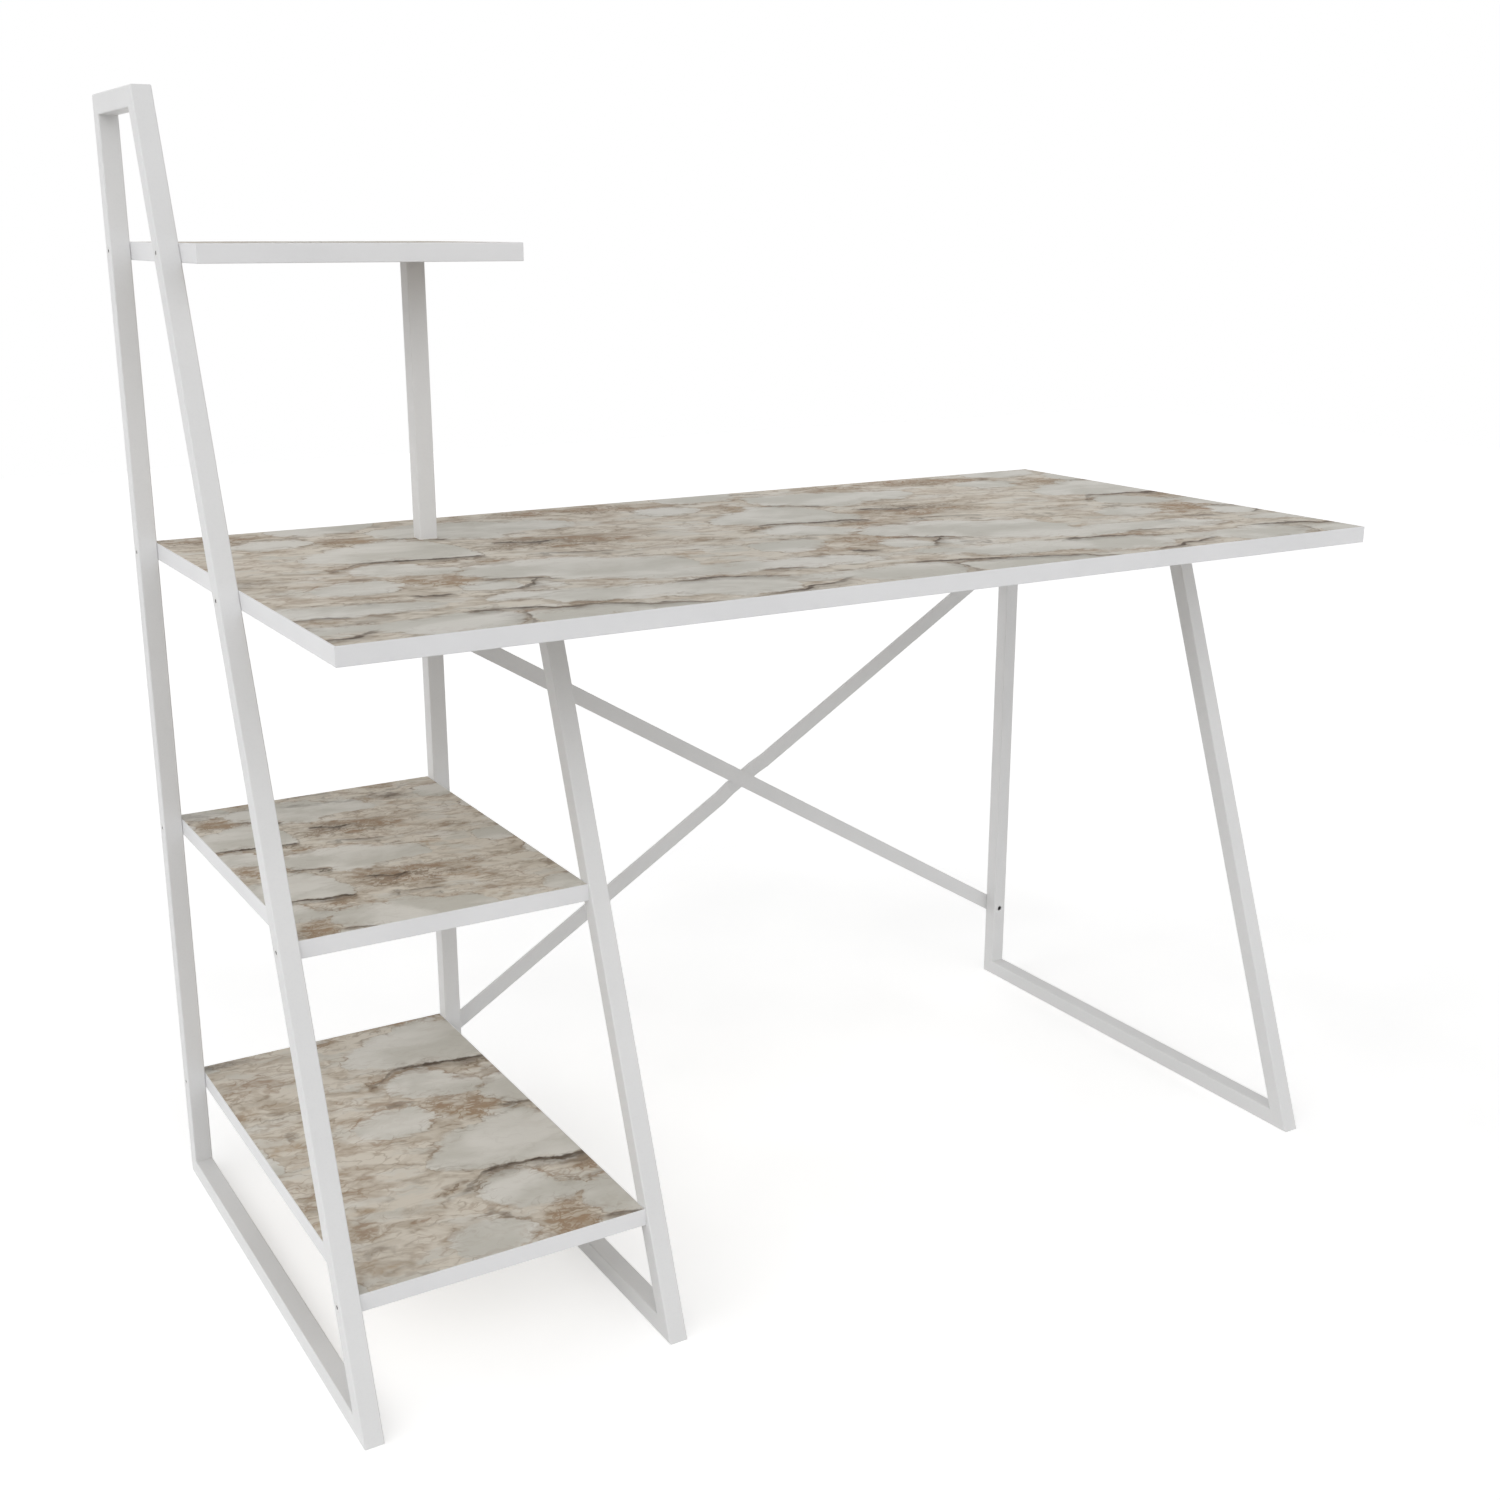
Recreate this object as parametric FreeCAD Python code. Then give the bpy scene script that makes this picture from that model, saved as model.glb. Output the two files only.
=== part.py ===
import FreeCAD, Part
import math
import os

from FreeCAD import Vector

# Study desk with a tall side frame: marble-faced boards with white edge bands on welded frames of
# square steel tube, an upper shelf on a short post, and a crossed brace behind the knee space.
# Millimetres, +Z up, front towards -Y. While it is drawn, X is 0 at the desktop's left edge, Y is 0
# at its front edge and Z is 0 on the floor; save() moves it to the middle of its own footprint.

# Desktop and shelves
desktop_width = 1200.0
desktop_depth = 600.0
desktop_height = 748.0
bottom_shelf_height = 128.0
lower_shelf_width = 297.0
upper_shelf_width = 322.0
upper_shelf_depth = 275.0
shelf_setback = 2.0
board_thickness = 18.0
band_thickness = 1.0
band_edge_radius = 0.8

# Steel frames
tube_side = 20.0
tube_wall = 1.2
tube_corner_radius = 1.5
frame_rise_above_shelf = 142.0
top_bar_length = 163.0
right_frame_inset = 20.0

# Post between the desktop and the upper shelf
post_right_inset = 52.0
post_rear_inset = 120.0
plug_flange = 1.5
plug_depth = 24.0
plug_clearance = 0.2

# Crossed brace of flat bar
brace_width = 20.0
brace_thickness = 3.0
brace_end_height = 102.5
brace_crank_flat = 44.0
brace_crank_ramp = 18.0

# One-piece countersunk screws that hold the boards and the post
screw_radius = 2.5
screw_head_radius = 5.0
screw_grip = 25.0
desktop_screw_grip = 12.0
post_screw_grip = 20.0
desktop_screw_inset = 60.0
screw_socket_flats = 4.0
screw_socket_depth = 2.0
screw_clearance = 0.1
tube_hole_radius = 3.25

# Button-head bolts and flush rivet nuts that hold the brace
bolt_radius = 3.0
bolt_length = 12.0
bolt_head_radius = 5.25
bolt_head_height = 3.3
bolt_socket_depth = 2.0
bolt_clearance = 0.1
bolt_crown_radius_share = 0.55
bolt_shoulder_radius_share = 0.9
bolt_shoulder_height_share = 0.5
rivet_nut_length = 14.0
rivet_nut_radius = 4.5
rivet_nut_head_radius = 5.25
rivet_nut_bulge_radius = 5.75
rivet_nut_bulge_length = 3.0
rivet_nut_clearance = 0.1

# Every cut runs past the faces it opens by this much
overrun = 1.0

# Heights and leaning line that the frames and shelves share
shelf_pitch = (desktop_height - bottom_shelf_height) / 2
middle_shelf_height = bottom_shelf_height + shelf_pitch
upper_shelf_height = desktop_height + shelf_pitch
tall_frame_height = upper_shelf_height + frame_rise_above_shelf
low_frame_height = desktop_height - board_thickness
lean = (desktop_depth - top_bar_length) / tall_frame_height
lean_secant = math.hypot(1, lean)

# Left faces of the three frames
left_frame_x = -tube_side
middle_frame_x = lower_shelf_width
right_frame_x = desktop_width - right_frame_inset - tube_side

# Lowest left front corner and highest right rear corner of the whole desk
rear_reach = desktop_depth + max(brace_thickness + bolt_head_height, 2 * brace_thickness)
origin = Vector((left_frame_x + desktop_width) / 2, rear_reach / 2, 0)


def front_line(height):
    """Y of the leaning legs' front face at a height."""
    return height * lean


def leg_centre(height):
    """Y of the leaning legs' centre line at a height."""
    return front_line(height) + tube_side / 2 * lean_secant


def save(name, shape):
    """Write one sub-part, with the desk's footprint centred on the origin."""
    placed = shape.copy()
    placed.translate(-origin)
    placed.exportStep(os.path.join("parts", name + ".step"))
    print(name, len(placed.Solids), "solid(s), valid", placed.isValid())


def turned(shape, point, direction):
    """Copy of a shape drawn along +Z from zero, laid along a direction from a point."""
    moved = shape.copy()
    moved.Placement = FreeCAD.Placement(point, FreeCAD.Rotation(Vector(0, 0, 1), direction))
    return moved


def upright(shape):
    """Edges of a block that stand along Z."""
    boxes = [(edge, edge.BoundBox) for edge in shape.Edges]
    return [edge for edge, box in boxes if box.ZLength > box.XLength + box.YLength]


def revolved(outline):
    """Solid of revolution about Z from (radius, height) points."""
    points = [Vector(radius, 0, height) for radius, height in outline]
    face = Part.Face(Part.makePolygon(points + points[:1]))
    return face.revolve(Vector(0, 0, 0), Vector(0, 0, 1), 360)


def hexagon_socket(flats, depth):
    """Hexagonal recess that opens at zero and goes down +Z."""
    corner_radius = flats / math.sqrt(3)
    corners = []
    for step in range(6):
        angle = math.radians(60 * step)
        corners.append(Vector(corner_radius * math.cos(angle), corner_radius * math.sin(angle), -overrun))
    face = Part.Face(Part.makePolygon(corners + corners[:1]))
    return face.extrude(Vector(0, 0, depth + overrun))


# Boards

def rounded_block(left, right, front, rear, top):
    """Board-sized block with its level edges eased, as a band's long edges are."""
    block = Part.makeBox(
        right - left, rear - front, board_thickness, Vector(left, front, top - board_thickness))
    upright_edges = upright(block)
    level_edges = [edge for edge in block.Edges if not any(edge.isSame(other) for other in upright_edges)]
    return block.makeFillet(min(band_edge_radius, band_thickness), level_edges)


def slab(left, right, front, rear, top):
    """Cutting block as wide as given that runs past a board's two faces."""
    height = board_thickness + 2 * overrun
    return Part.makeBox(right - left, rear - front, height, Vector(left, front, top - height + overrun))


def banded_board(name, left, right, front, rear, top, screw_holes):
    """Save a board's core and its four edge bands, drilled for the screws that reach it."""
    block = rounded_block(left, right, front, rear, top)
    for hole in screw_holes:
        block = block.cut(hole)
    inner_left = left + band_thickness
    inner_right = right - band_thickness
    inner_front = front + band_thickness
    inner_rear = rear - band_thickness
    pieces = {
        "board": (inner_left, inner_right, inner_front, inner_rear),
        "front_edge_band": (left - overrun, right + overrun, front - overrun, inner_front),
        "rear_edge_band": (left - overrun, right + overrun, inner_rear, rear + overrun),
        "left_edge_band": (left - overrun, inner_left, inner_front, inner_rear),
        "right_edge_band": (inner_right, right + overrun, inner_front, inner_rear),
    }
    for piece, limits in pieces.items():
        save(name + "_" + piece, block.common(slab(*limits, top)))


# Screws

def countersunk_screw(length):
    """One-piece connecting screw: flush conical head, blunt shank and hexagon socket."""
    head_height = screw_head_radius - screw_radius
    body = revolved([
        (0, 0),
        (screw_head_radius, 0),
        (screw_radius, head_height),
        (screw_radius, length),
        (0, length),
    ])
    return body.cut(hexagon_socket(screw_socket_flats, screw_socket_depth))


def countersink(depth):
    """Conical seat and the clear hole below it, for a screw head let in from zero."""
    seat_radius = screw_head_radius + screw_clearance
    hole_radius = screw_radius + screw_clearance
    return revolved([
        (0, -overrun),
        (seat_radius + overrun, -overrun),
        (hole_radius, seat_radius - hole_radius),
        (hole_radius, depth),
        (0, depth),
    ])


def screw_bore(depth):
    """Bore in a board or plug that a screw's shank has cut for itself."""
    radius = screw_radius + screw_clearance
    return Part.makeCylinder(radius, depth + overrun, Vector(0, 0, -overrun))


def side_screw_points(height, leg_rear):
    """Where the two screws cross a frame's legs at mid-thickness of a board."""
    level = height - board_thickness / 2
    return [(leg_centre(level), level), (leg_rear - tube_side / 2, level)]


rear_face = desktop_depth
left_frame_levels = [bottom_shelf_height, middle_shelf_height, desktop_height, upper_shelf_height]
middle_frame_levels = [bottom_shelf_height, middle_shelf_height]
side_screw_length = tube_side + screw_grip
desktop_screw_length = tube_side + desktop_screw_grip
post_screw_length = board_thickness + post_screw_grip

left_screw_points = [point for height in left_frame_levels for point in side_screw_points(height, rear_face)]
middle_screw_points = [
    point for height in middle_frame_levels for point in side_screw_points(height, rear_face)]


def left_screw_bores(height):
    """Bores in the left edge of the board at a height."""
    return [
        turned(screw_bore(screw_grip + overrun), Vector(0, y, z), Vector(1, 0, 0))
        for y, z in side_screw_points(height, rear_face)]


def right_screw_bores(height):
    """Bores in the right edge of a lower shelf at a height."""
    return [
        turned(screw_bore(screw_grip + overrun), Vector(middle_frame_x, y, z), Vector(-1, 0, 0))
        for y, z in side_screw_points(height, rear_face)]


# Frames

def square_tube(length, side, wall, corner_radius):
    """Hollow square tube along +Z, its section centred on the axis."""
    outer = Part.makeBox(side, side, length, Vector(-side / 2, -side / 2, 0))
    outer = outer.makeFillet(min(corner_radius, side / 4), upright(outer))
    bore_side = side - 2 * wall
    bore = Part.makeBox(
        bore_side, bore_side, length + 2 * overrun, Vector(-bore_side / 2, -bore_side / 2, -overrun))
    return outer.cut(bore)


def frame_corners(height):
    """Outer corners of a frame in side view, as (y, z): front foot, front top, rear top, rear foot."""
    return [
        Vector(0, 0, 0),
        Vector(0, front_line(height), height),
        Vector(0, rear_face, height),
        Vector(0, rear_face, 0),
    ]


def inner_corner(corners, index):
    """Corner of a frame's opening that faces an outer corner."""
    count = len(corners)
    corner = corners[index]
    before = (corner - corners[(index - 1) % count]).normalize()
    after = (corners[(index + 1) % count] - corner).normalize()
    across_before = Vector(0, before.z, -before.y)
    across_after = Vector(0, after.z, -after.y)
    return corner + (across_before + across_after) * (tube_side / (1 + across_before.dot(across_after)))


def frame_member(corners, index, frame_x):
    """One tube of a frame, mitred at both ends, from an outer corner to the next one."""
    count = len(corners)
    start = corners[index]
    end = corners[(index + 1) % count]
    start_inner = inner_corner(corners, index)
    end_inner = inner_corner(corners, (index + 1) % count)
    along = (end - start).normalize()
    across = Vector(0, along.z, -along.y)
    spare = tube_side
    length = (end - start).Length + 2 * spare
    tube = square_tube(length, tube_side, tube_wall, tube_corner_radius)
    axis_start = start - along * spare + across * (tube_side / 2) + Vector(frame_x + tube_side / 2, 0, 0)
    tilt = FreeCAD.Rotation(Vector(1, 0, 0), math.degrees(math.atan2(-along.y, along.z)))
    tube.Placement = FreeCAD.Placement(axis_start, tilt)
    start_mitre = (start_inner - start).normalize() * spare
    end_mitre = (end_inner - end).normalize() * spare
    outline = [start - start_mitre, end - end_mitre, end_inner + end_mitre, start_inner + start_mitre]
    trim_face = Part.Face(Part.makePolygon(outline + outline[:1]))
    trim = trim_face.extrude(Vector(tube_side + 2 * overrun, 0, 0))
    trim.translate(Vector(frame_x - overrun, 0, 0))
    return tube.common(trim)


def side_screw_holes(points, outer_x, inward):
    """Countersunk hole in a leg's outer wall and clear hole in its inner wall, for each screw."""
    holes = []
    for y, z in points:
        holes.append(turned(countersink(tube_side / 2), Vector(outer_x, y, z), inward))
        clear_hole = Part.makeCylinder(tube_hole_radius, tube_side / 2 + overrun)
        holes.append(turned(clear_hole, Vector(outer_x, y, z) + inward * (tube_side / 2), inward))
    return holes


def brace_ends(frame_x):
    """Lower and upper brace fixings on a rear leg, on the leg's rear face."""
    middle = frame_x + tube_side / 2
    return [
        Vector(middle, rear_face, brace_end_height),
        Vector(middle, rear_face, low_frame_height - brace_end_height),
    ]


def brace_holes(frame_x):
    """Countersunk seats for the rivet nuts and the drill holes that face them in the front wall."""
    holes = []
    for point in brace_ends(frame_x):
        head = rivet_nut_head_radius + rivet_nut_clearance
        body = rivet_nut_radius + rivet_nut_clearance
        seat = revolved([
            (0, -overrun),
            (head + overrun, -overrun),
            (body, head - body),
            (body, tube_side / 2),
            (0, tube_side / 2),
        ])
        holes.append(turned(seat, point, Vector(0, -1, 0)))
        drill_hole = Part.makeCylinder(tube_hole_radius, tube_side / 2 + overrun)
        holes.append(turned(drill_hole, point - Vector(0, tube_side / 2, 0), Vector(0, -1, 0)))
    return holes


def desktop_screw_points(frame_x):
    """Where the two screws cross a low frame's top bar, on its underside."""
    middle = frame_x + tube_side / 2
    underside = low_frame_height - tube_side
    return [
        Vector(middle, front_line(low_frame_height) + desktop_screw_inset, underside),
        Vector(middle, rear_face - desktop_screw_inset, underside),
    ]


def top_bar_holes(frame_x):
    """Countersunk hole below and clear hole above, for each desktop screw."""
    holes = []
    for point in desktop_screw_points(frame_x):
        holes.append(turned(countersink(tube_side / 2), point, Vector(0, 0, 1)))
        clear_hole = Part.makeCylinder(tube_hole_radius, tube_side / 2 + overrun)
        holes.append(turned(clear_hole, point + Vector(0, 0, tube_side / 2), Vector(0, 0, 1)))
    return holes


def welded_frame(name, frame_x, height, holes):
    """Save the four mitred tubes of a frame, drilled where its holes name them."""
    corners = frame_corners(height)
    for index, member in enumerate(["front_leg", "top_bar", "rear_leg", "floor_bar"]):
        tube = frame_member(corners, index, frame_x)
        for hole in holes.get(member, []):
            tube = tube.cut(hole)
        save(name + "_" + member, tube)


def left_frame():
    """Tall frame outside the boards' left edges."""
    front_points = left_screw_points[0::2]
    rear_points = left_screw_points[1::2]
    holes = {
        "front_leg": side_screw_holes(front_points, left_frame_x, Vector(1, 0, 0)),
        "rear_leg": side_screw_holes(rear_points, left_frame_x, Vector(1, 0, 0)),
    }
    welded_frame("left_frame", left_frame_x, tall_frame_height, holes)


def middle_frame():
    """Low frame between the lower shelves and the knee space."""
    outer_x = middle_frame_x + tube_side
    front_points = middle_screw_points[0::2]
    rear_points = middle_screw_points[1::2]
    rear_holes = side_screw_holes(rear_points, outer_x, Vector(-1, 0, 0))
    holes = {
        "front_leg": side_screw_holes(front_points, outer_x, Vector(-1, 0, 0)),
        "rear_leg": rear_holes + brace_holes(middle_frame_x),
        "top_bar": top_bar_holes(middle_frame_x),
    }
    welded_frame("middle_frame", middle_frame_x, low_frame_height, holes)


def right_frame():
    """Low frame under the desktop's right end."""
    holes = {
        "rear_leg": brace_holes(right_frame_x),
        "top_bar": top_bar_holes(right_frame_x),
    }
    welded_frame("right_frame", right_frame_x, low_frame_height, holes)


# Post

post_x = upper_shelf_width - post_right_inset - tube_side / 2
post_y = rear_face - post_rear_inset - tube_side / 2
post_foot = Vector(post_x, post_y, desktop_height)
post_head = Vector(post_x, post_y, upper_shelf_height - board_thickness)


def post_plug():
    """Plastic end plug: a flange as wide as the tube and a body that fits inside it."""
    flange = Part.makeBox(
        tube_side, tube_side, plug_flange, Vector(-tube_side / 2, -tube_side / 2, 0))
    flange = flange.makeFillet(min(tube_corner_radius, tube_side / 4), upright(flange))
    body_side = tube_side - 2 * tube_wall - 2 * plug_clearance
    body = Part.makeBox(
        body_side, body_side, plug_depth, Vector(-body_side / 2, -body_side / 2, plug_flange))
    return flange.fuse(body).removeSplitter().cut(screw_bore(plug_flange + plug_depth + overrun))


def shelf_post():
    """Save the post's tube and the plug at each of its ends."""
    length = post_head.z - post_foot.z - 2 * plug_flange
    tube = square_tube(length, tube_side, tube_wall, tube_corner_radius)
    tube.translate(post_foot + Vector(0, 0, plug_flange))
    save("shelf_post_tube", tube)
    save("shelf_post_lower_plug", turned(post_plug(), post_foot, Vector(0, 0, 1)))
    save("shelf_post_upper_plug", turned(post_plug(), post_head, Vector(0, 0, -1)))


# Desktop and shelves

def post_screw_hole(face_point, inward):
    """Countersunk hole through a board for the screw into the post's plug."""
    return turned(countersink(board_thickness + overrun), face_point, inward)


post_screw_starts = [
    (Vector(post_x, post_y, desktop_height - board_thickness), Vector(0, 0, 1)),
    (Vector(post_x, post_y, upper_shelf_height), Vector(0, 0, -1)),
]


def desktop():
    """Marble-faced desktop with its bores for the frame screws and the post screw."""
    holes = left_screw_bores(desktop_height)
    for frame_x in (middle_frame_x, right_frame_x):
        for point in desktop_screw_points(frame_x):
            bore = screw_bore(desktop_screw_grip + overrun)
            holes.append(turned(bore, point + Vector(0, 0, tube_side), Vector(0, 0, 1)))
    holes.append(post_screw_hole(*post_screw_starts[0]))
    banded_board("desktop", 0, desktop_width, 0, desktop_depth, desktop_height, holes)


def lower_shelf(name, height):
    """Shelf between the left and middle frames, its front edge behind the leaning legs' line."""
    front = front_line(height) + shelf_setback
    holes = left_screw_bores(height) + right_screw_bores(height)
    banded_board(name, 0, lower_shelf_width, front, rear_face, height, holes)


def upper_shelf():
    """Shelf on the tall frame and the post."""
    front = rear_face - upper_shelf_depth
    holes = left_screw_bores(upper_shelf_height) + [post_screw_hole(*post_screw_starts[1])]
    banded_board("upper_shelf", 0, upper_shelf_width, front, rear_face, upper_shelf_height, holes)


# Crossed brace

def brace_bar(start, end, crank):
    """Flat bar with rounded drilled ends, stepped back by its crank where the other bar crosses."""
    reach = end - start
    half_length = reach.Length / 2
    half_width = brace_width / 2
    tip = half_length + half_width
    flat = brace_crank_flat / 2
    ramp = flat + brace_crank_ramp
    profile = [
        Vector(-tip, 0, 0),
        Vector(-ramp, 0, 0),
        Vector(-flat, crank, 0),
        Vector(flat, crank, 0),
        Vector(ramp, 0, 0),
        Vector(tip, 0, 0),
        Vector(tip, brace_thickness, 0),
        Vector(ramp, brace_thickness, 0),
        Vector(flat, brace_thickness + crank, 0),
        Vector(-flat, brace_thickness + crank, 0),
        Vector(-ramp, brace_thickness, 0),
        Vector(-tip, brace_thickness, 0),
    ]
    if crank == 0:
        profile = [profile[0], profile[5], profile[6], profile[11]]
    strip = Part.Face(Part.makePolygon(profile + profile[:1])).extrude(Vector(0, 0, brace_width))
    strip.translate(Vector(0, 0, -half_width))
    height = 2 * brace_thickness + 2 * overrun
    outline = Part.makeBox(2 * half_length, height, brace_width, Vector(-half_length, -overrun, -half_width))
    for side in (-1, 1):
        end_centre = Vector(side * half_length, -overrun, 0)
        outline = outline.fuse(Part.makeCylinder(half_width, height, end_centre, Vector(0, 1, 0)))
    bar = strip.common(outline.removeSplitter())
    for side in (-1, 1):
        end_centre = Vector(side * half_length, -overrun, 0)
        bar = bar.cut(Part.makeCylinder(tube_hole_radius, height, end_centre, Vector(0, 1, 0)))
    slope = math.degrees(math.atan2(reach.z, reach.x))
    bar.Placement = FreeCAD.Placement(
        (start + end) * 0.5, FreeCAD.Rotation(Vector(0, 1, 0), -slope))
    return bar


def crossed_brace():
    """Save the two bars: a straight one and one cranked round it."""
    lower_left, upper_left = brace_ends(middle_frame_x)
    lower_right, upper_right = brace_ends(right_frame_x)
    save("brace_straight_bar", brace_bar(upper_left, lower_right, 0))
    save("brace_cranked_bar", brace_bar(lower_left, upper_right, brace_thickness))


def button_head_bolt():
    """Bolt with a low crowned head and a hexagon socket; the head seats at zero, the shank runs +Z."""
    body = revolved([
        (0, -bolt_head_height),
        (bolt_head_radius * bolt_crown_radius_share, -bolt_head_height),
        (bolt_head_radius * bolt_shoulder_radius_share, -bolt_head_height * bolt_shoulder_height_share),
        (bolt_head_radius, 0),
        (bolt_radius, 0),
        (bolt_radius, bolt_length),
        (0, bolt_length),
    ])
    socket = hexagon_socket(screw_socket_flats, bolt_socket_depth)
    socket.translate(Vector(0, 0, -bolt_head_height))
    return body.cut(socket)


def flush_rivet_nut():
    """Rivet nut set in a tube wall: flush conical head, bulge behind the wall, bored body."""
    bore = bolt_radius + bolt_clearance
    head_height = rivet_nut_head_radius - rivet_nut_radius
    bulge_start = tube_wall + rivet_nut_clearance
    bulge_middle = bulge_start + rivet_nut_bulge_length / 2
    bulge_end = bulge_start + rivet_nut_bulge_length
    return revolved([
        (bore, 0),
        (rivet_nut_head_radius, 0),
        (rivet_nut_radius, head_height),
        (rivet_nut_radius, bulge_start),
        (rivet_nut_bulge_radius, bulge_middle),
        (rivet_nut_radius, bulge_end),
        (rivet_nut_radius, rivet_nut_length),
        (bore, rivet_nut_length),
    ])


def fasteners():
    """Save each kind of fastener as one group of separate solids."""
    side_screw = countersunk_screw(side_screw_length)
    save("left_frame_screws", Part.makeCompound([
        turned(side_screw, Vector(left_frame_x, y, z), Vector(1, 0, 0)) for y, z in left_screw_points]))
    middle_outer_x = middle_frame_x + tube_side
    save("middle_frame_screws", Part.makeCompound([
        turned(side_screw, Vector(middle_outer_x, y, z), Vector(-1, 0, 0)) for y, z in middle_screw_points]))
    desktop_screw = countersunk_screw(desktop_screw_length)
    desktop_points = desktop_screw_points(middle_frame_x) + desktop_screw_points(right_frame_x)
    save("desktop_screws", Part.makeCompound([
        turned(desktop_screw, point, Vector(0, 0, 1)) for point in desktop_points]))
    post_screw = countersunk_screw(post_screw_length)
    save("post_screws", Part.makeCompound([
        turned(post_screw, point, inward) for point, inward in post_screw_starts]))
    brace_points = brace_ends(middle_frame_x) + brace_ends(right_frame_x)
    save("brace_bolts", Part.makeCompound([
        turned(button_head_bolt(), point + Vector(0, brace_thickness, 0), Vector(0, -1, 0))
        for point in brace_points]))
    save("brace_rivet_nuts", Part.makeCompound([
        turned(flush_rivet_nut(), point, Vector(0, -1, 0)) for point in brace_points]))


os.makedirs("parts", exist_ok=True)
desktop()
lower_shelf("bottom_shelf", bottom_shelf_height)
lower_shelf("middle_shelf", middle_shelf_height)
upper_shelf()
left_frame()
middle_frame()
right_frame()
shelf_post()
crossed_brace()
fasteners()
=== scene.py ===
"""Finishes, stage, light and camera for the study desk with a tall side frame.

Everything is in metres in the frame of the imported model: X to the right, Y to the rear, Z up, with
the desk's footprint centred on the origin. The steel frames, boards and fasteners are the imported
model's own pieces, dressed here. The brace's bolts are new pieces in the same places.
"""
import logging
import math
from dataclasses import dataclass
from enum import Enum
from typing import Callable, NamedTuple, Sequence, Union

import bmesh
import bpy
from mathutils import Matrix, Vector


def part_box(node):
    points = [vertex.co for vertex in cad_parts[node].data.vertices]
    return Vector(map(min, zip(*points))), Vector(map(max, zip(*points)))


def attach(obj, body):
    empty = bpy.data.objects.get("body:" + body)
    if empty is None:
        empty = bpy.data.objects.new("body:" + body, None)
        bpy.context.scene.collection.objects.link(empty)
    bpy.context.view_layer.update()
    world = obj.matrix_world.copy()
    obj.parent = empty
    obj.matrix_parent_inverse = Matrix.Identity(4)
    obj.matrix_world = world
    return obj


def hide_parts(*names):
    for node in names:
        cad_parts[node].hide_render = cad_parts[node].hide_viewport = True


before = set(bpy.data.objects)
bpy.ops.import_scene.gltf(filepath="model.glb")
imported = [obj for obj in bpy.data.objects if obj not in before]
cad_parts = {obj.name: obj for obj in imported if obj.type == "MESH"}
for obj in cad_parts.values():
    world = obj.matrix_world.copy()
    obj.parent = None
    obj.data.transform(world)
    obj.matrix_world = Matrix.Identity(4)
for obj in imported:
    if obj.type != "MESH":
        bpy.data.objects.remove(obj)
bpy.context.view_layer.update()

MM = 0.001

Socket = bpy.types.NodeSocket
Value = Union[float, Sequence[float], Socket]
Colour = tuple[float, float, float, float]
Point = tuple[float, float]
Scale = Callable[[float], float]

log = logging.getLogger("study_desk")


class Slot(Enum):
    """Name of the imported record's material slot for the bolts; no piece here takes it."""

    BOLT = "white_bolt"


class Side(Enum):
    """Sides of a board that carry an edge band."""

    FRONT = "front"
    REAR = "rear"
    LEFT = "left"
    RIGHT = "right"


class Tube(Enum):
    """Tubes of a welded frame, round from its leaning leg."""

    FRONT_LEG = "front_leg"
    TOP_BAR = "top_bar"
    REAR_LEG = "rear_leg"
    FLOOR_BAR = "floor_bar"


class PlugEnd(Enum):
    """Ends of the post that a plug closes."""

    LOWER = "lower"
    UPPER = "upper"


class Step(NamedTuple):
    """Smooth step: a value at low gives start, one at high gives end."""

    low: float
    high: float
    start: float = 0.0
    end: float = 1.0


@dataclass(frozen=True)
class Grain:
    """A noise: lumps per metre, octaves and their weight, curl, and how it is turned and drawn out."""

    scale: float
    detail: float = 2.0
    roughness: float = 0.5
    distortion: float = 0.0
    turn: float = 0.0
    stretch: float = 1.0
    start: Point = (0.0, 0.0)
    flat: bool = False


@dataclass(frozen=True)
class PrintGrain(Grain):
    """A noise of the print, which doesn't change with height."""

    flat: bool = True


@dataclass(frozen=True)
class Bump:
    """Relief of a finish: strength, and depth in metres of a height of 1."""

    strength: float
    depth: float


NOISE_SPREAD = Step(0.3, 0.7)


def shade(red: int, green: int, blue: int) -> Colour:
    """Scene-linear colour of an 8-bit display colour.

    Args:
        red: Red from 0 to 255.
        green: Green.
        blue: Blue.

    Returns:
        The opaque linear colour.
    """
    parts = []
    for level in (red, green, blue):
        part = level / 255
        parts.append(part / 12.92 if part <= 0.04045 else ((part + 0.055) / 1.055) ** 2.4)
    return (*parts, 1.0)


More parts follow.
